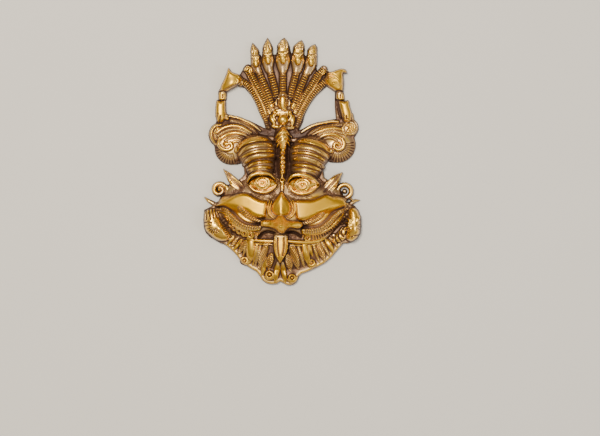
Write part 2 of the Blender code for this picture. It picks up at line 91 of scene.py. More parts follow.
def smooth_path(points: Path, step: float = 2.0, closed: bool = False) -> Array:
    """Points along a smooth curve through the given points.

    Between two points b and c, with neighbours a and d, the curve is Catmull and Rom's cubic:
    b + t(c - a)/2 + t^2(2a - 5b + 4c - d)/2 + t^3(3b - 3c + d - a)/2.

    Args:
        points: the points that the curve goes through.
        step: distance between the points read from it.
        closed: whether the curve comes back to its first point.

    Returns:
        The points read from the curve, one row each.
    """
    given = np.asarray(points, dtype=float)
    if closed:
        frame_points = np.vstack([given[-1:], given, given[:2]])
    else:
        frame_points = np.vstack([2 * given[0] - given[1], given, 2 * given[-1] - given[-2]])
    runs = []
    for a, b, c, d in zip(frame_points, frame_points[1:], frame_points[2:], frame_points[3:]):
        pieces = max(2, round(float(np.linalg.norm(c - b)) / step))
        t = np.arange(pieces)[:, None] / pieces
        bend = 2 * a - 5 * b + 4 * c - d + t * (3 * (b - c) + d - a)
        runs.append(b + 0.5 * t * (c - a + t * bend))
    return np.vstack(runs if closed else [*runs, given[-1:]])


def arc(x: float, y: float, radius: float, start: float, end: float, count: int = 9,
        shrink: float = 0.0) -> Array:
    """Points on an arc: the centre plus radius times (cos, sin) of angles from start to end, in degrees.

    Args:
        x: the centre's place across.
        y: the centre's place up.
        radius: the arc's radius at its start.
        start: first angle.
        end: last angle.
        count: number of points.
        shrink: how much the radius shrinks on the way, which makes a spiral.

    Returns:
        The points, one row each.
    """
    angle = np.radians(np.linspace(start, end, count))
    reach = radius - shrink * np.linspace(0.0, 1.0, count)
    return np.column_stack([x + reach * np.cos(angle), y + reach * np.sin(angle)])


def ring(x: float, y: float, half_x: float, half_y: float, count: int = 25) -> Array:
    """Points on a closed ellipse: the centre plus (half_x cos a, half_y sin a) once round."""
    angle = np.linspace(0.0, 2.0 * np.pi, count)
    return np.column_stack([x + half_x * np.cos(angle), y + half_y * np.sin(angle)])


def rays(x: float, y: float, angles: Sequence[float], *reaches: float) -> list[Array]:
    """Straight paths out of a centre.

    Args:
        x: the centre's place across.
        y: the centre's place up.
        angles: direction of each path, in degrees.
        reaches: distances from the centre of the points on each path.

    Returns:
        The paths, each with a point at every reach.
    """
    ways = [np.array([math.cos(angle), math.sin(angle)]) for angle in np.radians(angles)]
    return [np.array([(x, y) + way * reach for reach in reaches]) for way in ways]


def each(work: Callable[..., None], *rows: tuple[object, ...]) -> None:
    """Does one kind of work in turn for every row of its arguments."""
    for row in rows:
        work(*row)


def soft_max(a: Array, b: Array, width: float) -> Array:
    """Larger of two heights, with a fillet of the given width where they meet.

    With t = (a - b)/(2 width) + 1/2 held between 0 and 1, the result is b + t(a - b) + width t(1 - t).
    """
    t = np.clip(0.5 + 0.5 * (a - b) / width, 0.0, 1.0)
    return b + (a - b) * t + width * t * (1.0 - t)


def blur(values: Array, radius: float, step: float, rounds: int = 3) -> Array:
    """Values averaged over a soft round patch: repeated running means, first down and then across.

    Args:
        values: the grid to blur.
        radius: size of the patch, in the grid's length unit.
        step: distance between grid points.
        rounds: number of running means each way.

    Returns:
        A grid of the same size.
    """
    reach = max(1, round(radius / step / math.sqrt(rounds)))
    width = 2 * reach + 1
    result = values
    for _ in range(rounds):
        total = np.cumsum(np.pad(result, ((reach + 1, reach), (0, 0)), mode="edge"), axis=0)
        result = (total[width:] - total[:-width]) / width
        total = np.cumsum(np.pad(result, ((0, 0), (reach + 1, reach)), mode="edge"), axis=1)
        result = (total[:, width:] - total[:, :-width]) / width
    return result


@dataclass
class Trace:
    """What a sheet knows about the points near a path."""

    window: Window
    gap: Array
    along: Array
    across: Array
    size: Array
    length: float


@dataclass(frozen=True)
class Recess:
    """How patina gathers at one scale: it starts at a depth and is whole a span deeper."""

    reach: float
    start: float
    span: float


@dataclass
class Relief:
    """A sheet of wax: heights on a square grid, in millimetres, carved from broad forms to fine cuts."""

    step: float = 0.46
    half_width: float = 104.0
    half_height: float = 162.0
    edge_roll: float = 2.4
    edge_share: float = 0.35
    thinnest: float = 1.0
    web_level: float = 8.0
    mark_stain: float = 0.38
    # Grooves are darkened by their depth: patina in the cut together with painted shade.
    groove_stain_and_shade: float = 0.5
    dome_fall: float = 30.0
    outline_margin: float = 6.0
    recesses: tuple[Recess, ...] = (Recess(1.1, 0.1, 0.95), Recess(3.6, 0.6, 3.6), Recess(9.0, 4.0, 5.0))
    fine_share: float = 0.46
    fine_wear: float = 0.2
    far_share: float = 0.4
    wide_share: float = 0.14
    bare_share: float = 0.42
    bare_rise: float = 1.2
    bare_blur: float = 0.6
    matte_share: float = 0.2
    polish: float = 0.8
    polish_blur: float = 1.0
    matte_blur: float = 0.8
    rounding: float = 0.7
    rounding_radius: float = 0.3
    pit_edge: float = 1.12
    pit_wall: float = 0.26
    sand: tuple[tuple[float, float, int], ...] = ((0.55, 0.7, 5), (0.35, 1.5, 6))
    sand_matte: float = 0.5
    sand_patina: float = 0.2
    sand_from: float = 0.45
    swell: tuple[float, float, int] = (0.04, 4.0, 8)

    def __post_init__(self) -> None:
        """Lays out the empty sheet."""
        self.columns = np.arange(-self.half_width, self.half_width + self.step, self.step)
        self.rows = np.arange(-self.half_height, self.half_height + self.step, self.step)
        self.x, self.y = np.meshgrid(self.columns, self.rows)
        self.ground = np.full(self.x.shape, SHEET_FLOOR)
        self.inside = np.full(self.x.shape, 10.0 * SHEET_FLOOR)
        # The stain layer holds real stains and the dark between worked marks. It also holds painted shade:
        # dark colour put in the mouth pockets, under the snakes' hoods and in the grooves.
        self.matte, self.stain_and_shade, self.satin, self.worn = np.zeros((4, *self.x.shape))
        self.height = self.ground

    def settle(self) -> None:
        """Ends the broad forms: from here on, cuts and bars go into the height."""
        self.height = self.ground.copy()

    def radial(self, x: float, y: float, half_x: float, half_y: float, turn: float) -> Array:
        """Distance from a turned oval's centre, as a share of its half sizes.

        It is hypot(u/half_x, v/half_y), with u and v the distances along the oval's own axes.
        """
        c, s = math.cos(math.radians(turn)), math.sin(math.radians(turn))
        u = ((self.x - x) * c + (self.y - y) * s) / half_x
        v = ((self.y - y) * c - (self.x - x) * s) / half_y
        return np.hypot(u, v)

    def window(self, points: Array, margin: float) -> Window:
        """Rows and columns of the grid that hold the points and a margin round them."""
        low, high = points.min(axis=0) - margin, points.max(axis=0) + margin
        across = slice(*np.searchsorted(self.columns, (low[0], high[0])))
        up = slice(*np.searchsorted(self.rows, (low[1], high[1])))
        return up, across

    def dome(self, x: float, y: float, half_x: float, half_y: float, top: float, turn: float = 0.0,
             base: float = 0.0, fillet: float = 3.0, crown: float = 0.5) -> None:
        """Broad round form: base + (top - base)(1 - rho^2)^crown, with rho the share of its half sizes.

        Args:
            x: centre across.
            y: centre up.
            half_x: half size along its own first axis.
            half_y: half size along its second axis.
            top: height of its top.
            turn: turn of its axes, in degrees.
            base: height of its foot.
            fillet: width of the soft valley to the forms around it.
            crown: a half is a ball's section, less is flatter on top.
        """
        rho = self.radial(x, y, half_x, half_y, turn)
        rise = base + (top - base) * np.clip(1.0 - rho ** 2, 0.0, None) ** crown
        rise -= self.dome_fall * np.clip(rho - 1.0, 0.0, None)
        self.ground = soft_max(self.ground, rise, fillet)
        if base <= 0.0:
            self.inside = np.maximum(self.inside, (1.0 - rho) * min(half_x, half_y))

    def outline_depth(self, outline: Array) -> tuple[Window, Array]:
        """Distance inside a closed outline: to the nearest side, positive inside and negative outside.

        A point is inside when a ray to its left crosses the outline an odd number of times.
        """
        window = self.window(outline, self.outline_margin)
        x, y = self.x[window], self.y[window]
        nearest = np.full(x.shape, UNREACHED)
        odd = np.zeros(x.shape, bool)
        for (ax, ay), (bx, by) in zip(outline, np.roll(outline, -1, axis=0)):
            dx, dy = bx - ax, by - ay
            t = np.clip(((x - ax) * dx + (y - ay) * dy) / (dx * dx + dy * dy), 0.0, 1.0)
            nearest = np.minimum(nearest, np.hypot(x - ax - t * dx, y - ay - t * dy))
            if dy:
                odd ^= ((ay > y) != (by > y)) & (x < ax + (y - ay) * dx / dy)
        return window, np.where(odd, nearest, -nearest)

    def plate(self, outline: Path, top: float, fillet: float = 1.0) -> None:
        """Flat slab: its top inside the outline, falling away one for one outside it."""
        window, depth = self.outline_depth(np.asarray(outline, float))
        self.inside[window] = np.maximum(self.inside[window], depth)
        slab = np.where(depth > -1.0, top, SHEET_FLOOR) + np.clip(depth, -3.0, 0.0)
        self.ground[window] = soft_max(self.ground[window], slab, fillet)

    def show(self, window: Window, form: Array, stain_and_shade: Array | float) -> None:
        """Sets a form on finished work: where it stands higher, it brings its own dark colour in place of
        the stains and painted shade under it, and a smooth skin.

        Args:
            window: rows and columns of the grid that the form may reach.
            form: its height there.
            stain_and_shade: dark colour that it brings, for the whole form or for each point.
        """
        shown = form > self.height[window]
        self.stain_and_shade[window] = np.where(shown, stain_and_shade, self.stain_and_shade[window])
        self.matte[window][shown] = 0.0
        self.height[window] = np.maximum(self.height[window], form)

    def pillow(self, outline: Path, top: float | Path, edge: float, width: float,
               crown: float = 0.5) -> None:
        """Swelling form inside a smooth outline: edge + (top - edge)(1 - (1 - s/width)^2)^crown.

        s is the distance inside the outline, held at the width, past which the top is level. The
        form is clean: it covers stains, painted shade and rough floor under it.

        Args:
            outline: points round the form, joined by a smooth closed curve.
            top: its height, or (x, height) pairs that the top's parabola across the sheet comes near.
            edge: height at the outline.
            width: how far in the form reaches its full height.
            crown: a half is round, less is flatter with a tighter edge.
        """
        window, depth = self.outline_depth(smooth_path(outline, 2.0, closed=True))
        if not isinstance(top, (int, float)):
            places, heights = np.asarray(top, float).T
            top = np.polyval(np.polyfit(places, heights, 2), self.x[window])
        t = np.clip(depth / width, 0.0, 1.0)
        form = np.where(depth > 0.0, edge + (top - edge) * (1.0 - (1.0 - t) ** 2) ** crown, UNDER_ALL)
        self.show(window, form, 0.0)
        self.ground[window] = np.maximum(self.ground[window], form)
        self.inside[window] = np.maximum(self.inside[window], depth)

    def trace(self, points: Path, radii: Sequence[float]) -> Trace:
        """Distance of every nearby grid point to a smooth path with a changing radius.

        Each short run of the path answers for the points near it, and the run with the smallest
        distance less its radius wins.

        Args:
            points: the points that the path goes through.
            radii: radii spread evenly along it.

        Returns:
            Gap to the bar's side, place along it, side distance and radius for each point.
        """
        path = smooth_path(points)
        places = np.linspace(0.0, 1.0, len(path))
        sizes = np.interp(places, np.linspace(0.0, 1.0, len(radii)), radii)
        run = np.concatenate([[0.0], np.cumsum(np.hypot(*np.diff(path, axis=0).T))])
        margin = max(radii) + 2.0 * self.step
        window = self.window(path, margin)
        x, y = self.x[window].ravel(), self.y[window].ravel()
        gap, along, across = np.full(x.shape, UNREACHED), np.zeros(x.shape), np.zeros(x.shape)
        size = np.full(x.shape, sizes[0])
        for i, ((ax, ay), (dx, dy)) in enumerate(zip(path, np.diff(path, axis=0))):
            reach = max(sizes[i], sizes[i + 1]) + 2.0 * self.step
            near = np.flatnonzero((x > min(ax, ax + dx) - reach) & (x < max(ax, ax + dx) + reach)
                                  & (y > min(ay, ay + dy) - reach) & (y < max(ay, ay + dy) + reach))
            px, py = x[near] - ax, y[near] - ay
            t = np.clip((px * dx + py * dy) / (dx * dx + dy * dy), 0.0, 1.0)
            distance = np.hypot(px - t * dx, py - t * dy)
            radius = sizes[i] + (sizes[i + 1] - sizes[i]) * t
            win = distance - radius < gap[near]
            hit = near[win]
            gap[hit] = (distance - radius)[win]
            along[hit] = (run[i] + t * math.hypot(dx, dy))[win]
            across[hit] = (distance * np.sign(dx * py - dy * px))[win]
            size[hit] = radius[win]
        shape = self.x[window].shape
        return Trace(window, gap.reshape(shape), along.reshape(shape), across.reshape(shape),
                     size.reshape(shape), float(run[-1]))

    def ridge(self, points: Path, radii: float | Sequence[float], lift: float | Sequence[float] = 0.0,
              base: float | None = None, cut: Cut = Cut.PLAIN, pitch: float = 2.4, depth: float = 0.4,
              slant: float = 0.0, crown: float = 0.5, rise: float = 0.9) -> None:
        """Raised bar along a path: floor + lift + rise radius (1 - q^2)^crown.

        q is the distance from the path as a share of the radius. A worked bar is lowered between
        its marks by the depth's share of its swell. With w running from -1 to 1 over each pitch, a
        rib is 0.62 (1 + cos(pi w)), a hatch 0.6 + 0.9 cos(pi w), both held between 0 and 1, and a
        bead (1 - w^2 - q^2/2)^(1/2). A plain bar is clean, and a worked one is dark between its marks.

        Args:
            points: the points that the bar follows.
            radii: its radius, or radii spread evenly along it.
            lift: height of its foot over the floor, or heights spread along it.
            base: level of the floor, or None for the ground under it.
            cut: how it is worked along its length.
            pitch: distance between its marks.
            depth: share of the swell that the marks take.
            slant: how far the marks lean, as along per across.
            crown: a half is round, less is flatter on top.
            rise: how high the bar swells, as a share of its radius.
        """
        if isinstance(radii, (int, float)):
            radii = (radii,)
        at = self.trace(points, radii)
        within = at.gap < 0.0
        share = np.clip(np.abs(at.across) / at.size, 0.0, 1.0)
        swell = np.clip(1.0 - (1.0 + np.minimum(at.gap, 0.0) / at.size) ** 2, 0.0, 1.0) ** crown
        phase = (at.along + slant * at.across) / pitch
        wave = 2.0 * (phase - np.floor(phase)) - 1.0
        marks = {
            Cut.PLAIN: lambda: 1.0,
            Cut.RIBBED: lambda: np.clip(0.62 + 0.62 * np.cos(wave * np.pi), 0.0, 1.0),
            Cut.HATCHED: lambda: np.clip(0.6 + 0.9 * np.cos(wave * np.pi), 0.0, 1.0),
            Cut.BEADED: lambda: np.sqrt(np.clip(1.0 - wave ** 2 - 0.5 * share ** 2, 0.0, 1.0)),
        }[cut]()
        swell = swell * (1.0 - depth * (1.0 - marks))
        floor = np.maximum(self.ground[at.window], 0.0) if base is None else base
        if not isinstance(lift, (int, float)):
            lift = np.interp(at.along, np.linspace(0.0, at.length, len(lift)), lift)
        bar = np.where(within, floor + lift + rise * at.size * swell, UNDER_ALL)
        self.show(at.window, bar, self.mark_stain * (1.0 - marks))
        self.inside[at.window] = np.maximum(self.inside[at.window], -at.gap)

    def groove(self, points: Path, width: float, depth: float) -> None:
        """Cut along a path, as deep as depth times exp(-(distance/width)^2), and darkened by its depth with
        patina and painted shade.
        """
        at = self.trace(points, (2.2 * width,))
        cut = np.where(at.gap < 0.0, depth * np.exp(-(at.across / width) ** 2), 0.0)
        self.height[at.window] -= cut
        self.stain_and_shade[at.window] = np.maximum(self.stain_and_shade[at.window], cut / depth * self.groove_stain_and_shade)

    def bead(self, x: float, y: float, radius: float, lift: float = 0.0, base: float | None = None) -> None:
        """Half ball."""
        self.ridge([(x - 0.05, y), (x + 0.05, y)], radius, lift, base)

    def coil(self, x: float, y: float, half_x: float, half_y: float, radius: float, lift: float = 0.0,
             base: float | None = None) -> None:
        """Raised closed ring."""
        self.ridge(ring(x, y, half_x, half_y), radius, lift, base)

    def push(self, x: float, y: float, half_x: float, half_y: float, amount: float,
             turn: float = 0.0) -> None:
        """Swells finished work from behind: adds amount times exp(-rho^2) to its height."""
        self.height += amount * np.exp(-self.radial(x, y, half_x, half_y, turn) ** 2)

    def tint(self, x: float, y: float, half_x: float, half_y: float, amount: float,
             turn: float = 0.0) -> None:
        """Darkens an oval with soft edges: adds amount times exp(-rho^2) to the stain."""
        self.stain_and_shade += amount * np.exp(-self.radial(x, y, half_x, half_y, turn) ** 2)

    def mark(self, layer: Array, oval: Oval, start: float, slope: float, amount: float = 1.0) -> None:
        """Raises a layer inside an oval to amount (start - slope rho), held between 0 and the amount.

        Args:
            layer: the sheet's matte, stain, satin or worn layer.
            oval: the oval's centre across and up, its half sizes and its turn in degrees.
            start: share at the centre, above 1 where the middle is even.
            slope: how fast it fades per half size.
            amount: the most that the layer is raised to.
        """
        np.maximum(layer, amount * np.clip(start - slope * self.radial(*oval), 0.0, 1.0), out=layer)

    def pit(self, x: float, y: float, half_x: float, half_y: float, floor: float, turn: float = 0.0,
            stain_and_shade: float = 0.8) -> None:
        """Sunk oval with a rough floor darkened as painted shade, its wall a smooth step 3t^2 - 2t^3 of the
        edge distance.
        """
        rho = self.radial(x, y, half_x, half_y, turn)
        t = np.clip((self.pit_edge - rho) / self.pit_wall, 0.0, 1.0)
        t = t * t * (3.0 - 2.0 * t)
        self.height = self.height * (1.0 - t) + np.minimum(self.height, floor) * t
        self.matte = np.maximum(self.matte, 0.5 * t)
        self.stain_and_shade = np.maximum(self.stain_and_shade, stain_and_shade * t)

    def stipple(self, x: float, y: float, half_x: float, half_y: float, turn: float = 0.0,
                amount: float = 1.0) -> None:
        """Marks an oval of floor as punched rough, fading out at its edge."""
        self.mark(self.matte, (x, y, half_x, half_y, turn), 4.4, 4.0, amount)

    def grain(self, radius: float, seed: int) -> Array:
        """Seeded noise blurred to a grain of the given radius and scaled to a spread of one."""
        soft = blur(np.random.default_rng(seed).standard_normal(self.x.shape), radius, self.step, 2)
        return soft / soft.std()

    def envelope(self, high: Array, reach: float, power: int = 10) -> Array:
        """Level of the high points around each point: the patch's mean of height^power, to the 1/power."""
        return blur((high / 10.0) ** power, reach, self.step) ** (1.0 / power) * 10.0

    def film(self, high: Array, recess: Recess) -> Array:
        """Share of patina that a recess keeps: (depth - start)/span, held between 0 and 1."""
        depth = np.where(self.inside > 0.0, self.envelope(high, recess.reach) - high, 0.0)
        return np.clip((depth - recess.start) / recess.span, 0.0, 1.0)

    def finish(self) -> None:
        """Rolls the rim, wears the surface and works out where the patina stays.

        The rim is lowered by sqrt(1 - (1 - s/roll)^2) of the distance s inside the outline, and
        sharp edges are rounded by a small blur. How deep a point lies is the level of the high
        points around it less its own height, at three reaches. Each adds its share to the patina
        once it is deeper than wear can reach, and less on surfaces that are satin or worn. The bare
        floor of the thin webs, the stains with the painted shade among them and the matte floor add
        theirs.
        """
        high = np.maximum(self.height, self.thinnest)
        t = np.clip(self.inside / self.edge_roll, 0.0, 1.0)
        high *= self.edge_share + (1.0 - self.edge_share) * np.sqrt(1.0 - (1.0 - t) ** 2)
        high += self.rounding * (blur(high, self.rounding_radius, self.step, 1) - high)
        fine, far, wide = (self.film(high, recess) for recess in self.recesses)
        self.matte = blur(np.clip(self.matte, 0.0, 1.0), self.matte_blur, self.step)
        bare = np.clip(1.0 - (high - self.ground) / self.bare_rise, 0.0,
                       1.0) * (self.ground < self.web_level)
        self.satin = blur(self.satin, self.polish_blur, self.step)
        worn = blur(self.worn, self.polish_blur, self.step)
        kept = 1.0 - self.polish * np.maximum(self.satin, worn)
        patina = (self.fine_share - self.fine_wear * worn) * fine
        patina += self.far_share * far * kept
        patina += self.wide_share * wide * kept
        patina += self.bare_share * blur(bare, self.bare_blur, self.step)
        # The painted shade in the stain layer goes into the patina here, together with the real stains.
        self.patina = np.clip(patina + self.stain_and_shade + self.matte_share * self.matte, 0.0, 1.0)
        pits = sum(amount * self.grain(radius, seed) for amount, radius, seed in self.sand)
        rough = self.sand_matte * self.matte
        rough += self.sand_patina * np.clip(self.patina - self.sand_from, 0.0, 1.0)
        amount, radius, seed = self.swell
        high += pits * rough + amount * self.grain(radius, seed)
        self.height = np.maximum(high, 0.6 * self.thinnest)


@dataclass
class Ground:
    """Broad forms that everything else stands on: face, jaw, horns and the thin webs between the parts."""

    face: tuple[float, ...] = (0, -62, 84, 52, 28)
    jaw: tuple[float, ...] = (0, -100, 63, 44, 21)
    web: float = 5.5
    wing: float = 5.5
    temple: float = 10.0
    end: float = 8.0
    beard: float = 8.5

    def carve(self, relief: Relief) -> None:
        """Builds the domes and the webs."""
        each(relief.dome,
             self.face,
             self.jaw,
             (-14, -145.5, 15, 13, 11),
             (9, -147, 12.5, 13, 11),
             (0, -20, 11, 34, 24),
             (-33, 12, 27, 24, 30, -18),
             (-28, -8, 20, 20, 31),
             (35, 10, 28, 24, 30, 18),
             (30, -10, 22, 20, 31),
             (-26, -28.5, 18.5, 12.5, 35, 0, 0, 1.5),
             (27, -30.5, 20, 13.5, 35, 0, 0, 1.5),
             (0, 58, 23, 32, 8),
             (0, 24, 12, 26, 16),
             (-57, 36, 34, 17, 11, -14),
             (-82, 34.5, 13.5, 15, 10),
             (-67, 17, 20.5, 21, 10.5, 0, 0, 3, 0.35),
             (58, 35, 34, 15, 11, 10),
             (86, 42.5, 12, 12, 10),
             (72, 20, 22, 21.5, 10.5, 0, 0, 3, 0.35),
             (-60, -38, 18, 12, 14, 20),
             (61, -40, 18, 11, 14, -20))
        each(relief.plate,
             ([(-18, 38), (-24, 50), (-28, 62), (-33, 73), (-40, 85), (-49, 95), (-58, 98), (-56, 111),
               (-48.5, 123.5), (-41, 125.5), (-40.5, 134), (-31, 137), (-25, 136), (-12, 138), (-8, 139),
               (9.5, 141.5), (13.5, 139.5), (27.5, 138), (33, 136), (43.5, 135), (43.5, 124), (45, 116),
               (53, 121), (61, 111), (61, 101), (52, 92.5), (43, 84.5), (35, 73), (29.5, 62), (26, 50),
               (20, 38)], self.web),
             ([(2, 40), (-16, 40), (-25, 44.5), (-33, 48.5), (-42, 53), (-52, 56.5), (-60, 59), (-72, 62),
               (-84, 58), (-86, 50), (-92, 45.5), (-95.5, 37), (-94, 28), (-88.5, 21), (-86.5, 15),
               (-84.5, 8), (-79.5, 2), (-72, -2), (-65, -3.8), (-57, -3.5), (-50, -1), (-40, 0), (2, 0)],
              self.wing),
             ([(-2, 38), (16, 38), (26, 42.5), (36, 48), (45, 51), (55, 52.5), (63, 54.5), (74, 56),
               (86, 56.5), (93, 54), (97.5, 48), (98.5, 42), (96, 36), (93, 31), (94.5, 25), (94.5, 18),
               (92, 10.5), (86, 4), (79, 0), (70, -1.6), (62, -1), (56, 1), (40, 0), (-2, 0)], self.wing),
             ([(-50, -8), (-49, -16), (-53, -21), (-60, -25), (-67, -33), (-76, -48), (-60, -60), (60, -60),
               (78, -50), (68, -33), (60, -24), (54, -20.5), (53, -12), (54, -6), (40, 0), (-40, 0)],
              self.temple),
             ([(-88, -56), (-101, -62.5), (-102, -75), (-101.5, -85), (-99, -92), (-94, -97), (-86, -102),
               (-79, -106), (-60, -104), (-60, -70), (-76, -57)], self.end),
             ([(84, -56), (93.5, -57), (98.5, -63), (101.8, -72), (102, -85), (101, -93), (97, -100),
               (91, -104), (84, -106), (78, -106), (60, -104), (60, -70), (76, -57)], self.end),
             ([(-80, -104), (-72, -109), (-66, -114), (-60, -120), (-55, -127), (-50, -132), (-42, -137.5),
               (-34, -142), (-30, -147), (-26, -152), (-20, -157), (-14, -158.8), (-7, -158), (-3, -155),
               (0, -156.5), (4, -159), (9, -160), (14, -158.3), (18, -154.5), (20.5, -149), (25, -145),
               (31, -143), (38, -140), (46, -136), (55, -131), (62, -125), (68, -118), (74, -111),
               (80, -104), (60, -94), (-60, -94)], self.beard))
        each(relief.dome,
             (-44, -57, 40, 15, 31, -7, 8, 4),
             (46, -58, 40, 15, 31, 7, 8, 4),
             (-44, -78, 36, 15, 26.5, -22, 8, 4),
             (46, -80, 38, 16, 26.5, 22, 8, 4),
             (-1, -66, 30, 26, 36, 0, 8, 4, 0.35))
        relief.plate([(68, 92), (76, 91), (77, 70), (76, 52), (70, 52), (68, 64), (67.5, 80)], 3.5)
        relief.settle()


@dataclass
class Snake:
    """One hooded snake of the fan: leaf crown, rounded face, smooth throat and ribbed neck."""

    tip: Point
    crown: Point
    crown_radius: float
    face: Point
    face_radius: float
    neck: Path
    top: float
    neck_radius: float = 4.5
    rib_pitch: float = 3.2

    def carve(self, relief: Relief) -> None:
        """Carves the neck first, then the throat, crown and face over it."""
        tip, crown, face = (np.array(place, float) for place in (self.tip, self.crown, self.face))
        neck = np.array(self.neck, float)
        width = self.crown_radius
        collar = neck[0] + (neck[1] - neck[0]) * 0.4
        radius = self.neck_radius
        relief.ridge([crown + (0, -2), face + (0, -6), neck[0] + (0, -4)],
                     (width, 1.15 * width, 0.75 * width), 0.0, 5.0, crown=0.3)
        relief.ridge([collar, *neck[1:]], (radius, radius * 1.02, radius, radius * 0.86), 0.0,
                     self.top - 2.2, Cut.RIBBED, self.rib_pitch, 0.8, crown=0.45)
        relief.ridge([face + (0, -3), collar], (0.85 * self.face_radius, radius), 0.0, self.top - 2.6)
        # Painted shade: the throat under the hood is darkened where the hood's shadow falls, over its
        # patina.
        throat = 0.4 * face + 0.6 * collar + (0, -2)
        relief.tint(throat[0], throat[1], 6.5, 7.5, 0.36)
        each(relief.ridge,
             ([crown + (0, -3), crown + (0, 1), 0.5 * (crown + tip), tip],
              (0.8 * width, width, 0.58 * width, 0.5), 0.0, 5.5, Cut.HATCHED, 2.7, 0.2, 0.9, 0.6),
             ([crown + (0, -1), 0.8 * tip + 0.2 * crown], (1.6, 0.6), (0.62 * width, 3.0), 6.0),
             ([crown + (-0.75 * width, -3.6), crown + (0, -4.8), crown + (0.75 * width, -3.6)],
              (1.3, 1.6, 1.3), 0.0, self.top + 2.6, Cut.BEADED, 2.2, 0.6))
        relief.ridge([face + (0, 1.5), face + (0, -3), face + (0.2, -7)],
                     (0.92 * self.face_radius, 0.95 * self.face_radius, 0.6 * self.face_radius),
                     (0.0, 0.8, 2.2), self.top, crown=0.6)
        for side in (-1, 1):
            relief.bead(face[0] + side * 0.48 * self.face_radius, face[1] + 1.0, 1.2, 0.4,
                        self.top + 0.7 * self.face_radius)
            relief.ridge([face + (0.85 * side * self.face_radius, 2.6),
                          face + (0.35 * side * self.face_radius, 3.8)], 0.9, 0.0,
                         self.top + 0.7 * self.face_radius)


@dataclass
class SnakeFan:
    """The five snakes that rise behind the guardian."""

    snakes: tuple[Snake, ...] = (
        Snake((-38.5, 153.5), (-35.2, 139), 6.0, (-34, 131), 4.7,
              ((-33, 122), (-27.5, 109), (-21.5, 95), (-16, 81), (-12, 67)), 9.5),
        Snake((-19, 160), (-19, 142.5), 7.2, (-18.5, 135), 5.2,
              ((-17.5, 123), (-13.5, 108), (-10, 95), (-7.5, 83)), 9.5),
        Snake((2.5, 160), (1, 144.5), 8.4, (0.8, 136), 6.4,
              ((0.7, 123), (0.8, 106), (0.6, 92), (0, 80)), 10.0),
        Snake((25, 157), (20.5, 142.5), 7.9, (20, 134.5), 6.2,
              ((19, 122), (16.5, 109), (13, 96), (9.5, 83)), 9.5),
        Snake((42.5, 151.5), (38.3, 141), 6.9, (37, 132.5), 5.2,
              ((33.5, 120), (28, 106), (22.5, 93), (17.5, 80), (13, 67)), 9.5),
    )
    leaf_tips: Path = ((-28.5, 138), (9.5, 146), (14.5, 142.5))

    def carve(self, relief: Relief) -> None:
        """Carves the small leaves between the hoods and then each snake."""
        for x, y in self.leaf_tips:
            relief.ridge([(x, y - 7), (x, y)], (2.2, 0.6), 0.0, 5.0)
        for snake in self.snakes:
            snake.carve(relief)


@dataclass
class ScaledBands:
    """Two ribbed bands on each side of the fan, which run up from the guardian to the sea beasts."""

    upper_top: float = 7.5
    lower_top: float = 7.0
    pitch: float = 2.8
    depth: float = 0.85

    def carve(self, relief: Relief) -> None:
        """Carves the bands, the smooth rims between them and the swirls that they start from."""
        upper = ([(-44.5, 121), (-40, 111), (-33, 98), (-26, 85), (-20, 72), (-16.5, 60)],
                 [(53.5, 119.5), (46, 111.5), (37.5, 98), (29, 85), (22, 72), (17, 60)])
        lower = ([(-54, 105), (-46, 99.5), (-38.5, 90), (-31.5, 77), (-26.5, 64), (-22, 54), (-19, 44)],
                 [(61, 109), (52, 100.5), (44, 91.5), (35, 80.5), (28, 69), (23, 58), (19, 46)])
        rims = ([(-50, 121), (-44.5, 110), (-37.5, 97), (-30.5, 84), (-24.5, 71), (-20.5, 60)],
                [(58, 117), (50.5, 109.5), (42, 96.5), (33.5, 84), (26, 71), (20.5, 60)])
        for path in upper:
            relief.ridge(path, (4.9, 4.8, 4.4, 4.1, 3.4), 0.0, self.upper_top, Cut.RIBBED, self.pitch,
                         self.depth, crown=0.4)
        for path in lower:
            relief.ridge(path, (4.2, 4.2, 4.0, 3.7, 3.0), 0.0, self.lower_top, Cut.RIBBED, self.pitch,
                         self.depth, crown=0.4)
        for path in rims:
            relief.ridge(path, (0.8, 1.0, 0.8), 0.0, 8.0)
        for x, y, start, end in ((-44, 117.5, -60, 190), (-56, 101.5, -80, 120), (56, 113, -10, 200),
                                 (60, 103, 40, 250)):
            for turn, radius in enumerate((2.2, 4.5)):
                relief.ridge(arc(x, y, radius, start, end), 0.95, 0.0, 11.2 - 0.8 * turn)


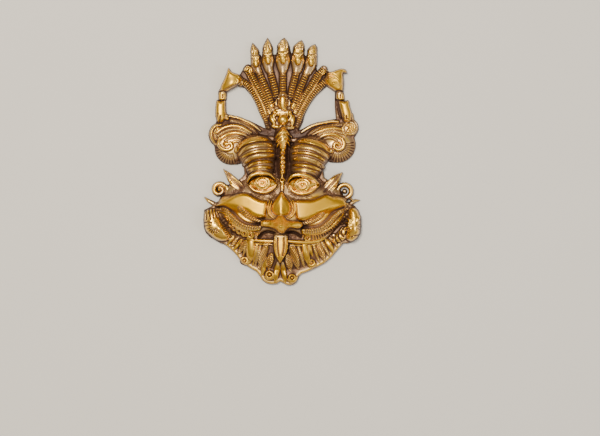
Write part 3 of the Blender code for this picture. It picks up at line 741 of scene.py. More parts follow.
@dataclass
class SeaBeasts:
    """Two crested beasts that look in towards the fan and step down on the wings."""

    limb_top: float = 13.5

    def carve(self, relief: Relief) -> None:
        """Carves the left beast, then the right one."""
        self.left(relief)
        self.right(relief)
        for x, y, half_x, half_y in ((-66, 104, 17, 18), (68, 104, 17, 18), (-79, 66, 9, 22),
                                     (81, 66, 9, 22)):
            relief.mark(relief.satin, (x, y, half_x, half_y, 0), 3.0, 2.5, 0.6)

    def left(self, relief: Relief) -> None:
        """Pointed crest, broad polished head with a ringed eye, ringed wrist and heavy leg."""
        relief.pillow([(-69.4, 121.5), (-66, 117), (-61, 114.2), (-55.5, 112.5), (-51.8, 108),
                       (-52.8, 101.5), (-58, 97.3), (-65, 93.5), (-72, 89.5), (-79, 89.8), (-79.7, 97),
                       (-76.5, 104), (-73, 112)], ((-80, 12.5), (-64, 17), (-52, 14)), 6.5, 5.5, 0.36)
        relief.push(-65, 101, 9, 7, 2.4, 25)
        relief.coil(-59.6, 103, 3.0, 3.2, 1.0, -0.6, 17.4)
        relief.bead(-59.6, 103, 1.5, 0.0, 17.2)
        relief.ridge([(-70.5, 116), (-66, 110.8), (-60, 109.6), (-55.5, 108.2)], (0.8, 1.3, 1.0), 0.0, 15.4)
        relief.groove([(-73.5, 92.6), (-67, 95.4), (-60, 98.8), (-54.5, 101)], 0.6, 1.1)
        relief.ridge([(-77, 89.5), (-77.3, 82)], (5.8, 5.6), 0.0, 5.0, crown=0.4)
        relief.pillow([(-84.5, 80), (-79, 78.5), (-73.2, 80), (-72.6, 72), (-72.4, 62), (-73.5, 55),
                       (-77.5, 50.5), (-83, 50.8), (-86.2, 57), (-86.6, 67), (-86, 74)], self.limb_top, 6.0,
                      6.5, 0.42)
        each(relief.groove,
             ([(-83, 89.4), (-77, 91.0), (-71, 89.2)], 0.8, 3.2),
             ([(-86, 79.6), (-79, 78.4), (-72, 79.6)], 0.8, 3.6),
             ([(-76.8, 85.6), (-76.8, 82.8)], 0.8, 1.8),
             ([(-79.6, 58.5), (-80.3, 54.5), (-80.5, 51)], 0.7, 2.8),
             ([(-83.2, 62), (-84.2, 56)], 0.6, 2.0))
        relief.ridge([(-74.4, 66), (-73.2, 61), (-71.5, 56)], (1.3, 2.4, 2.8), 0.0, 8.5, Cut.RIBBED, 3.0,
                     0.4)

    def right(self, relief: Relief) -> None:
        """Curled crest, head with combed brow lines, ringed wrist and heavy leg."""
        relief.pillow([(55.5, 110), (58.6, 115), (64, 116.4), (70, 118.6), (76, 120.2), (82, 118.8),
                       (83.4, 114), (78.6, 113.4), (79.3, 104), (79, 96), (77.5, 90.6), (69.5, 89.4),
                       (63, 93), (57.5, 96.8), (54.6, 102)], ((54, 13.5), (67, 17), (84, 12)), 6.5, 5.5,
                      0.36)
        relief.push(67, 100, 8, 8, 2.6, -35)
        for gap in (0.0, 2.7, 5.4):
            relief.ridge([(58.5, 112.5 - gap), (65, 114 - 1.1 * gap), (71.5, 109.4 - 1.2 * gap),
                          (76.5 - 0.5 * gap, 101 - 0.6 * gap)], (0.7, 1.1, 1.1, 0.7), 0.0,
                         16.4 + 0.35 * gap)
        relief.ridge([(70, 115.6), (76, 117.4), (81.5, 115.5)], (1.0, 1.4, 1.6), 0.0, 13.2)
        relief.bead(66.2, 100.2, 1.9, 0.0, 18.8)
        relief.coil(72.4, 95.6, 1.7, 1.7, 0.8, 0.0, 16.6)
        relief.ridge([(74, 89.5), (75, 82)], (5.2, 5.5), 0.0, 5.0, crown=0.4)
        relief.ridge([(69.2, 90), (69.2, 74), (70.5, 62), (72.5, 53)], (1.6, 1.6, 2.0, 3.0), 0.0, 3.0)
        relief.stipple(72, 66, 4.5, 14)
        relief.pillow([(72.8, 79.5), (79, 78.3), (85.2, 79.5), (87, 72), (89.6, 63), (89.4, 55), (86, 50.8),
                       (80, 51), (76.8, 56), (75, 64), (73.4, 72)], self.limb_top, 6.0, 6.5, 0.42)
        each(relief.groove,
             ([(68.5, 90), (74, 91.2), (80.5, 88.8)], 0.8, 3.2),
             ([(69, 80), (77, 78.6), (86, 79.2)], 0.8, 3.6),
             ([(75, 85.6), (75, 82.6)], 0.8, 1.8),
             ([(82.4, 58.5), (82.8, 55), (82.8, 51)], 0.7, 2.6),
             ([(78.6, 61), (78.8, 54)], 0.6, 2.0))
        relief.ridge([(89.5, 61), (90.8, 54.5)], (2.2, 2.0), 0.0, 7.0)


@dataclass
class Wings:
    """Layered wings under the beasts: polished waves, hatched rows, a scroll and a ribbed shell."""

    feather_pitch: float = 1.9
    shell_cut: float = 0.62

    def carve(self, relief: Relief) -> None:
        """Carves the shells, the feather rows and the scrolls."""
        plain, cut = Cut.PLAIN, Cut.HATCHED
        for x, y, start, end, reach, count in ((-67, 17, 178, 290, 20.6, 11), (72, 20, -122, 14, 21.6, 13)):
            for path in rays(x, y, np.linspace(start, end, count), 8.0, reach - 1.2):
                relief.groove(path, self.shell_cut, 1.5)
            relief.mark(relief.worn, (x, y, 22, 22, 0), 4.0, 4.0)
        left = (
            ([(-68, 58.5), (-60, 57.4), (-52, 54.8), (-39, 48), (-28, 39.5)], 1.9, plain, 1.6),
            ([(-67, 53.2), (-52, 50), (-41, 44), (-32.5, 36.5)], 2.2, cut, 0.2),
            ([(-85, 37), (-75, 43.8), (-63, 46.6), (-51, 44), (-40, 37)], 2.1, plain, 1.8),
            ([(-83.5, 32.5), (-73, 39), (-61, 41.8), (-50, 39.3), (-40, 33.5)], 2.0, cut, 0.6),
            ([(-81.5, 27.5), (-72, 34.2), (-61, 36.8), (-51, 35), (-43.5, 31.5)], 2.2, plain, 1.8),
            ([(-74, 26.8), (-65, 31), (-57, 31), (-50.5, 28.5)], 1.7, cut, 0.4),
            ([(-67, 22), (-60, 26), (-52.5, 24)], 1.6, plain, 0.6),
            ([(-80.5, 30), (-82.6, 22.5), (-78, 16.6), (-70.5, 14.8), (-64.8, 18.3), (-66.2, 23.6),
              (-70.8, 22.8)], 2.1, plain, 2.8),
            ([(-79, 47.5), (-87, 46), (-92, 38.6), (-91, 29.5), (-86, 22)], 1.9, plain, 1.4),
            ([(-80, 43.5), (-86, 41), (-87.5, 34.5), (-85.5, 28)], 1.5, cut, 0.8),
        )
        right = (
            ([(72, 51.5), (64, 51.6), (55, 50.4), (42, 47.3), (32, 42.5), (24.5, 37.5)], 1.9, plain, 1.6),
            ([(79, 48.2), (65, 47), (52, 44.6), (42, 40.8), (33, 34.5)], 2.2, cut, 0.2),
            ([(78.5, 41), (68, 43.2), (58, 42.4), (48, 39.2), (39, 34.5)], 2.0, plain, 1.8),
            ([(77.5, 36), (68, 39), (58, 38.6), (49, 35.4), (42, 31)], 2.0, cut, 0.6),
            ([(76.5, 29), (68, 34.3), (58, 34.6), (50, 31.8), (44.5, 28.5)], 2.1, plain, 1.8),
            ([(70, 27), (63, 30.3), (56, 29.6), (50.5, 26.5)], 1.7, cut, 0.4),
            ([(76.5, 30), (79.6, 23.5), (77.5, 17.3), (72, 14.8), (66.8, 18), (67.8, 23.4), (71.8, 22.8)],
             2.1, plain, 2.8),
            ([(80.5, 49.5), (77.8, 41.5), (81.5, 33)], 2.0, cut, 1.4),
        )
        for path, radius, kind, lift in (*left, *right):
            radii = (0.8 * radius, radius, radius, radius, 0.7 * radius)
            relief.ridge(path, radii, lift + 0.3, None, kind, self.feather_pitch, 0.45, rise=1.0)
        each(relief.bead,
             (-72.5, 22.6, 3.4, 1.6),
             (72.5, 22.4, 2.8, 1.6),
             (-83.4, 42.4, 2.6, 0.8))
        for turn, radius in enumerate((1.4, 4.2, 7.1, 10.0)):
            relief.ridge(arc(87, 44.5, radius, -120, 150), 1.25, 1.6 - 0.3 * turn)


@dataclass
class Horns:
    """Two ringed horns over the eyes: thick polished and beaded bars, thin ridges between them."""

    bead_pitch: float = 2.1
    bars: tuple[tuple[Path, float, Cut, float], ...] = (
        (((-59, 13.5), (-57, 18), (-50, 23.2), (-40, 27), (-28, 29), (-15, 29.4), (-8, 28.6)), 3.4,
         Cut.PLAIN, 2.6),
        (((-56, 8.0), (-50, 13.9), (-42, 18), (-33, 20.1), (-23, 21.1), (-10, 20.7)), 2.7, Cut.BEADED, 2.4),
        (((-51, 5.2), (-42, 9.4), (-32, 12.2), (-22, 13.2), (-11, 12.6)), 1.7, Cut.PLAIN, 1.6),
        (((-50, -5), (-44, 1), (-37, 4.6), (-28, 6.6), (-18, 7.1), (-8, 6.4)), 3.0, Cut.BEADED, 2.6),
        (((-46, -8), (-38, -3.6), (-30, -1.4), (-20, -0.6), (-11, -1.4)), 1.8, Cut.PLAIN, 1.9),
        (((-44, -12), (-36, -9.4), (-27, -8), (-20, -8), (-12, -9)), 1.7, Cut.PLAIN, 1.9),
        (((11, 27.2), (24, 27), (34, 25.6), (44, 23), (54, 19), (62.5, 13)), 3.3, Cut.PLAIN, 2.6),
        (((12, 17.9), (24, 18.5), (34, 17.5), (42, 15), (50, 11.1), (59, 5.9)), 2.9, Cut.BEADED, 2.4),
        (((13, 9.9), (25, 10.6), (35, 9.4), (45, 6), (54, 1)), 1.7, Cut.PLAIN, 1.5),
        (((11, 1.2), (20, 3), (28, 2.8), (36, 0.8), (44, -2.2), (53, -7.6)), 3.0, Cut.BEADED, 2.6),
        (((11, -5.4), (20, -5), (30, -5.6), (40, -8), (49, -11.8)), 1.9, Cut.PLAIN, 1.9),
        (((12, -12), (22, -10.8), (32, -11.2), (42, -13.8)), 1.5, Cut.PLAIN, 1.2),
    )
    sink: float = 1.0
    floor_stain: float = 0.26

    def carve(self, relief: Relief) -> None:
        """Sinks and darkens the floor of the horns, and carves the bars, each fading towards its ends."""
        for x, y, half_x, half_y, turn in ((-33, 9, 28, 25, -18), (35, 8, 30, 24, 18)):
            floor = (x, y, half_x, half_y, turn)
            relief.height -= self.sink * np.clip((1.0 - relief.radial(*floor)) / 0.2, 0.0, 1.0)
            relief.mark(relief.worn, floor, 5.4, 5.0)
            relief.mark(relief.stain_and_shade, floor, 5.5, 5.0, self.floor_stain)
        for path, radius, kind, lift in self.bars:
            radii = (0.8 * radius, 1.08 * radius, 1.08 * radius, 1.08 * radius, 0.9 * radius)
            lifts = (0.7 * lift, lift, lift, lift, 0.8 * lift)
            relief.ridge(path, radii, lifts, None, kind, self.bead_pitch, 0.12, crown=0.32, rise=0.8)


@dataclass
class BrowStem:
    """Column between the horns: chevrons, then a string of leaves down to the bridge of the nose."""

    chevrons: tuple[float, ...] = (38.8, 33.0, 27.2)
    leaves: int = 6
    leaf_pitch: float = 6.1

    def carve(self, relief: Relief) -> None:
        """Carves the rough floor, the column, its chevrons and its leaves."""
        relief.stipple(-3, -2, 9, 22)
        relief.stipple(4, -4, 9, 20)
        # The grooves beside the column carry painted shade in the recess as well as patina.
        for side in (-1, 1):
            path = [(side * 7.5, 22), (side * 7.2, 8), (side * 6.8, -8), (side * 5.5, -20)]
            relief.groove(path, 1.9, 4.0)
        relief.ridge([(1.2, 36), (1.4, 26), (1, 18)], (7.0, 6.0, 4.6), 1.4)
        for i, y in enumerate(self.chevrons):
            relief.ridge([(-8.8 + i, y - 8.5), (-4, y - 3), (1.8, y), (7, y - 2.5), (11.8 - i, y - 7.5)],
                         (1.2, 1.9, 2.3, 1.9, 1.2), 7.0 - i)
        relief.bead(1.8, 40.5, 4.2, 3.5)
        for i in range(self.leaves):
            y = 18.5 - self.leaf_pitch * i
            relief.ridge([(-2.0, y - 1.4), (1.0, y + 0.8), (3.4, y - 1.8)], (1.4, 2.4, 1.3), 3.6)
            relief.ridge([(-3.2, y - 3.6), (0.6, y - 2.8), (3.6, y - 4.2)], (0.8, 1.0, 0.8), 2.4)
        relief.ridge([(0, -15.5), (0, -21.5)], (1.0, 2.2), 2.5)
        relief.coil(0, -24.4, 2.4, 2.9, 1.0, 4.6)
        relief.ridge([(0, -27.2), (0, -33), (0, -42)], (2.5, 2.0, 1.0), 3.0)


@dataclass
class Guardian:
    """Small seated figure with an elephant's head and a round crown, where the snakes meet."""

    def carve(self, relief: Relief) -> None:
        """Carves the seat, the body, the head and the limbs."""
        relief.ridge([(0.4, 70), (0.4, 80)], (10.0, 8.0), 0.8, crown=0.35, rise=0.2)
        relief.mark(relief.worn, (0, 60, 18, 26, 0), 4.0, 4.0, 0.5)
        relief.ridge([(0.5, 49), (0.5, 62)], (12.5, 11.0), 0.2, crown=0.3, rise=0.1)
        relief.bead(1.0, 53.4, 7.0, 3.6)
        for i, x in enumerate((-8.6, -6.0, -3.4, -0.8, 1.8, 4.4, 7.0, 9.6)):
            foot = 55.6 + 0.35 * abs(i - 3.5)
            relief.ridge([(0.7 + 0.62 * (x - 0.7), 64.4), (x, foot + 1.8)], (0.85, 1.05, 0.8), 6.0)
        relief.ridge([(-9.5, 65.6), (0, 66.4), (9.5, 65)], (1.2, 1.5, 1.2), 5.0)
        relief.ridge([(0.6, 73), (0.6, 80)], (6.4, 6.2), 6.0, crown=0.5, rise=0.75)
        relief.ridge([(0.6, 81), (0.6, 84), (0.6, 87.6)], (7.0, 6.0, 2.6), 3.6, crown=0.4, rise=0.7)
        relief.ridge([(-6.4, 80.6), (0.6, 82.6), (7.0, 80.6)], (1.0, 1.4, 1.0), 8.2)
        relief.bead(0.8, 86.2, 1.9, 7.2)
        relief.ridge([(0.8, 80.5), (0.4, 74), (0.8, 69), (3.6, 66.8)], (3.6, 3.7, 3.1, 2.3), 0.0, 17.6,
                     crown=0.4)
        for side, knee in ((-1, [(-14.2, 58), (-13.6, 54), (-10.8, 49)]),
                           (1, [(13.8, 57.5), (13.8, 53), (12.4, 47.5)])):
            relief.ridge([(side * 7.6 + 0.6, 79.5), (side * 9 + 0.6, 76), (side * 7.8 + 0.6, 72.2)],
                         (1.2, 1.8, 1.2), 4.5)
            each(relief.bead,
                 (side * 14.4, 71.8, 3.5, 2.4),
                 (side * 16.6, 63.6, 2.9, 2.2),
                 (side * 9.8, 63.2, 2.5, 6.0))
            each(relief.ridge,
                 ([(side * 10.2, 62.4), (side * 11.6, 57.5), (side * 9.4, 53)], (2.2, 2.1, 1.8), 4.6),
                 (knee, (2.3, 3.0, 2.4), 3.4),
                 ([(side * 18.8, 61), (side * 19.4, 54), (side * 17, 46)], (0.9, 1.2, 0.9), 0.6))
            relief.stipple(side * 19.5, 43.5, 6, 8)
        relief.ridge([(-12.6, 45.5), (-7.6, 44.4), (-2, 46)], (2.2, 2.6, 1.8), 3.2)
        relief.ridge([(14, 43.5), (8.6, 43), (3, 45.6)], (2.2, 2.6, 1.8), 3.2)


@dataclass
class Eye:
    """One round eye: almond ball, ringed iris, thick polished lids and a fold above."""

    ball: Path
    iris: Point
    upper: Path
    lower: Path
    fold: Path
    top: float = 36.5
    outward: float = -0.17

    def carve(self, relief: Relief) -> None:
        """Carves the fold, the ball, the lids, the rim lines and the rings of the iris."""
        relief.ridge(self.fold, (0.8, 1.5, 1.7, 1.5, 0.8), 1.4, None, Cut.HATCHED, 1.9, 0.18)
        relief.pillow(self.ball, self.top, 31.5, 10.0, 0.6)
        relief.ridge(self.upper, (1.0, 2.5, 2.9, 2.7, 2.0, 1.0), (0.6, 3.6, 4.4, 4.2, 3.0, 0.6), 33.2,
                     crown=0.55)
        relief.ridge(self.lower, (1.0, 1.7, 2.0, 1.7, 1.0), (0.4, 1.6, 2.0, 1.6, 0.4), 32.4)
        for lid in (self.upper, self.lower):
            points = np.asarray(lid, float)
            outer = points + (self.iris - points) * self.outward
            relief.ridge(outer, (0.6, 1.0, 1.2, 1.0, 0.6), 1.2)
        x, y = self.iris
        for half, radius in ((9.6, 1.5), (6.0, 1.7)):
            relief.coil(x, y, half, 0.84 * half, radius, 0.1)
        relief.bead(x, y, 3.0, 0.4)


@dataclass
class Eyes:
    """The pair of eyes."""

    left: Eye = field(default_factory=lambda: Eye(
        ((-42.5, -29), (-36, -22.6), (-25, -19.6), (-15, -21.5), (-7.5, -29), (-14, -36), (-24, -38.6),
         (-35, -35.6)),
        (-25.2, -28.2),
        ((-44.5, -27.5), (-41, -20.6), (-34, -16.6), (-25, -15.8), (-16, -17.4), (-8.5, -24)),
        ((-43.5, -30.5), (-35, -37.8), (-22, -40), (-12, -36), (-6.5, -29.5)),
        ((-45.5, -19), (-39, -12.6), (-30, -11.2), (-20, -11.6), (-10, -16))))
    right: Eye = field(default_factory=lambda: Eye(
        ((8.6, -29), (14.5, -23), (24.5, -21), (36, -23), (46, -29.4), (37, -37), (25, -40.6), (14, -36.6)),
        (25.8, -30.8),
        ((7.2, -26.6), (12, -20), (21, -17.8), (30, -19), (39, -22.8), (47, -29.5)),
        ((8, -31), (14, -38.6), (24.5, -42), (36, -39.4), (47, -31.5)),
        ((8.5, -16.4), (20, -13.2), (31, -14), (42, -18), (50.5, -26))))

    def carve(self, relief: Relief) -> None:
        """Carves the rough skin under the eyes and then each eye."""
        each(relief.stipple,
             (-57, -38, 12, 5, 35), (60, -38, 12, 5, -35), (-30, -45, 14, 3.4, -12),
             (24, -46, 15, 3.4, 4), (12.5, -43, 5, 7, 20), (-12.5, -44, 5, 7, -20))
        for x, y in (self.left.iris, self.right.iris):
            relief.mark(relief.worn, (x, y, 22, 15, 0), 4.0, 3.5)
        self.left.carve(relief)
        self.right.carve(relief)


@dataclass
class Cheeks:
    """Large satin cheeks, level and unworked, that run out to the corners of the mouth."""

    left: Path = ((-86, -57.4), (-74, -50.6), (-64, -44.4), (-54, -41), (-43, -41.8), (-34, -46.4),
                  (-26, -49.8), (-19, -51), (-18, -58), (-19.4, -66), (-20.5, -72.6), (-29, -73.4),
                  (-38, -70.4), (-46, -65), (-55, -62), (-64, -59.6), (-76, -57.6))
    right: Path = ((79, -56), (72, -50.6), (64, -45.8), (56, -43), (47, -46.6), (38, -49.6), (28, -49.4),
                   (15, -50.8), (15.2, -60), (16.4, -70), (20, -76.6), (29, -76.8), (38, -73.4), (46, -69),
                   (56, -65.4), (64, -62), (72, -58.4))
    edge_width: float = 6.0

    def carve(self, relief: Relief) -> None:
        """Carves both cheeks over the broad forms."""
        relief.pillow(self.left, ((-86, 20), (-70, 27.5), (-52, 32.5), (-35, 35.8), (-18, 38)), 15.0,
                      self.edge_width, 0.2)
        relief.pillow(self.right, ((15, 38), (32, 35.8), (50, 32.5), (66, 27.5), (80, 21)), 15.0,
                      self.edge_width, 0.2)
        for x, turn in ((-48, 6), (46, -4)):
            relief.mark(relief.satin, (x, -58, 42, 19, turn), 2.4, 2.0)
        for amount, oval in ((0.14, (20, -62, 7.5, 15, 0)), (0.1, (-21, -64, 5, 14, 0))):
            relief.stain_and_shade += amount * np.clip(1.1 - relief.radial(*oval), 0.0, 1.0)


@dataclass
class Nose:
    """Drop-shaped nose with a soft ridge, double contour lines and flat spread nostrils."""

    drop: Path = ((-0.8, -39), (3.8, -45), (8.2, -51), (11.2, -58), (11.2, -64), (8, -68.6), (2, -70.6),
                  (-4, -70.8), (-10, -68.4), (-13.4, -63.5), (-13.2, -57), (-9.6, -50.5), (-5.2, -44.6))
    nostrils: Path = ((-27.8, -80), (-25.6, -76), (-19, -75.4), (-12, -75.2), (-8.4, -73), (-5.4, -70),
                      (0, -69.2), (3.6, -72.2), (7, -75.6), (13, -77), (20, -77.2), (25.4, -78.6),
                      (26.2, -83), (22, -86.4), (16, -86.4), (10.4, -85.4), (6.4, -88), (3.4, -91.4),
                      (-0.4, -93), (-4, -91.4), (-7, -88.6), (-11, -86.4), (-17, -84.8), (-23, -84.2),
                      (-26.8, -83.6))
    tip_top: float = 60.5

    def carve(self, relief: Relief) -> None:
        """Carves the drop, its contour lines, the nostrils and the ridge down to the tip."""
        for side in (-1, 1):
            for line, gap in enumerate((2.2, 4.7)):
                relief.ridge([(-1.1 + side * (9.8 + gap), -52 + 0.4 * gap),
                              (-1.1 + side * (12.4 + gap), -60),
                              (-1.1 + side * (11 + gap), -67 - 0.3 * gap),
                              (-1.1 + side * (4.5 + gap), -71.6 - 0.5 * gap)],
                             (0.7, 1.1, 1.1, 0.8), 0.0, 36.2 - 1.2 * line)
        relief.pillow(self.drop, ((-14, 39), (-7, 41), (-1.2, 42), (5, 41), (12, 39)), 34.0, 6.0, 0.45)
        relief.pillow(self.nostrils, ((-28, 39), (-14, 41.6), (-1.5, 42.6), (13, 41.6), (27, 39)), 32.0,
                      3.6, 0.4)
        each(relief.push,
             (-1.2, -60, 5.5, 10, 2.6),
             (-1.4, -74, 5.5, 9.5, 5.0),
             (-1.5, -84.5, 9.5, 8.0, self.tip_top - 42.6))
        relief.mark(relief.satin, (-1, -70, 27, 30, 0), 2.4, 2.0, 0.8)


@dataclass
class Mouth:
    """Waving upper lip in three rows on each side, the dark mouth below it and the lower lip."""

    hatch_pitch: float = 3.0
    lumps: int = 9

    def carve(self, relief: Relief) -> None:
        """Carves the pockets, the lumpy floor at both ends, the lip rows and the lower lip."""
        cut = Cut.HATCHED
        # Painted shade: the floors of the mouth pockets are darkened to stand for the shade inside the deep
        # cavity.
        for x, y, half_x, half_y, turn in ((-20.5, -95.4, 10, 5.0, -8), (14, -95.4, 9, 4.6, 8)):
            relief.pit(x, y, half_x, half_y, 23.0, turn, 0.3)
        relief.groove([(-30, -98), (-24, -92), (-17, -90.6), (-10, -92.6)], 1.5, 7.0)
        relief.groove([(5, -92.7), (10, -91), (17, -92.2), (23.5, -96.5)], 1.5, 7.0)
        for x, y, half_x, half_y, turn in ((-70, -80, 11, 6.5, -50), (78, -73, 11, 6.0, 60)):
            relief.stipple(x, y, half_x, half_y, turn)
            relief.tint(x, y, half_x, half_y, 0.12, turn)
            c, s = math.cos(math.radians(turn)), math.sin(math.radians(turn))
            for i in range(self.lumps):
                u, v = half_x * (0.2 * i - 0.8), 0.4 * half_y * (-1) ** i
                relief.bead(x + u * c - v * s, y + u * s + v * c, 1.7 + 0.3 * (i % 3), 0.6)
        rows = (
            (-1, [(-55, -59.5), (-50.5, -65), (-43, -70.6), (-35, -74.6), (-28.8, -77)],
             [(-84, -58.8), (-72, -59.4), (-62, -66.5), (-54, -74.5), (-45, -80), (-30, -81.4)],
             [(-84.5, -60.6), (-74, -62.4), (-66.5, -69), (-60, -76.6), (-52, -82.4), (-42, -85.2),
              (-29, -84.6)],
             [(-84.5, -64.5), (-75, -67), (-67.5, -74.4), (-60.5, -82), (-51, -87.6), (-41, -89.4),
              (-29, -88)]),
            (1, [(53, -67.5), (47, -72), (39.5, -76), (33, -78.4), (27, -79.8)],
             [(79, -59.2), (66, -64.8), (57.5, -73.6), (50, -80.2), (40.5, -84.2), (27, -84.6)],
             [(85, -60.8), (75, -64.6), (67.5, -71), (60.5, -79.4), (51, -86.6), (41, -89.6), (27, -89.4)],
             [(79, -68), (71, -76), (62.6, -85), (52, -91.6), (40, -94), (26, -93)]),
        )
        for x, turn in ((-57, -38), (56, 38)):
            relief.mark(relief.worn, (x, -76, 33, 11, turn), 3.0, 2.5)
        for side, patch, line, band, edge in rows:
            relief.ridge(patch, (1.6, 3.2, 3.4, 3.2, 2.4), 3.0, None, cut, self.hatch_pitch, 0.6,
                         0.35 * side, 0.42)
            relief.ridge(band, (1.6, 3.0, 3.3, 3.3, 3.2, 3.0), 2.8, None, cut, self.hatch_pitch, 0.55,
                         crown=0.4)
            relief.groove(line, 1.7, 3.4)
            relief.ridge(edge, (0.9, 1.4, 1.6, 1.5, 1.2), 3.2)
        for x, y, size in ((-66, -81.5, 4.2), (-61, -86.4, 4.6), (-54.8, -90.2, 4.9), (-48, -93, 5.2),
                           (-40.4, -95.2, 5.8)):
            relief.ridge(arc(x, y, 0.72 * size, 120, 420, 11, 0.3 * size), 0.36 * size, 3.4)
        relief.ridge([(76, -72.4), (70, -79.4), (62.8, -87.8), (54, -94), (44, -97.8), (38, -99)],
                     (2.0, 3.2, 3.4, 3.4, 3.2), 1.6, None, Cut.RIBBED, 3.4, 0.7, crown=0.35)
        relief.coil(32.4, -98.6, 3.2, 3.2, 1.4, 3.2)
        relief.bead(32.4, -98.6, 1.4, 2.8)
        relief.stipple(-22, -97.5, 10, 3.4)
        relief.stipple(17, -97.5, 9, 3.2)
        each(relief.ridge,
             ([(-46, -99.5), (-34, -102), (-22, -102.6), (-10, -103)], (0.8, 1.9, 2.4, 2.0), 3.2),
             ([(-43, -104), (-33, -106.2), (-20, -106.6), (-11, -107)], (0.6, 1.0, 1.1, 0.9), 1.6),
             ([(66, -88.5), (56, -97.6), (44, -103), (30, -104.4), (9, -103)], (0.9, 1.9, 2.5, 2.5, 2.0),
              3.2),
             ([(52, -104), (40, -107.6), (28, -108.6), (10, -107.4)], (0.6, 1.0, 1.2, 0.9), 1.6))


@dataclass
class Tongue:
    """Long pointed tongue with raised rims and two grooves."""

    outline: Path = ((-9.5, -92), (-11.4, -100), (-11.2, -110), (-9.4, -119), (-6.2, -126.5), (-2.8, -131),
                     (0.8, -126.5), (5.0, -119), (7.4, -110), (7.8, -100), (6.2, -92))

    def carve(self, relief: Relief) -> None:
        """Carves the tongue over the beard."""
        relief.pillow(self.outline, 31.0, 20.0, 6.5, 0.4)
        relief.mark(relief.satin, (-2, -112, 13, 22, 0), 2.4, 2.0, 0.8)
        for path in ([(-9.2, -96), (-9.7, -108), (-8.6, -117), (-4.6, -126.5)],
                     [(5.9, -96), (6.1, -108), (4.6, -117), (-0.8, -126.5)]):
            relief.ridge(path, (0.9, 1.2, 1.1, 0.7), (3, 3, 2, 0), 27.5)
        for path in ([(-5.8, -99), (-6, -110), (-4.6, -121)], [(2.2, -99), (2.2, -110), (0.4, -121)]):
            relief.groove(path, 0.8, 2.6)


@dataclass
class Lock:
    """One carved lock of the beard."""

    path: Path
    radii: tuple[float, float, float]
    cut: Cut = Cut.PLAIN
    slant: float = 0.0


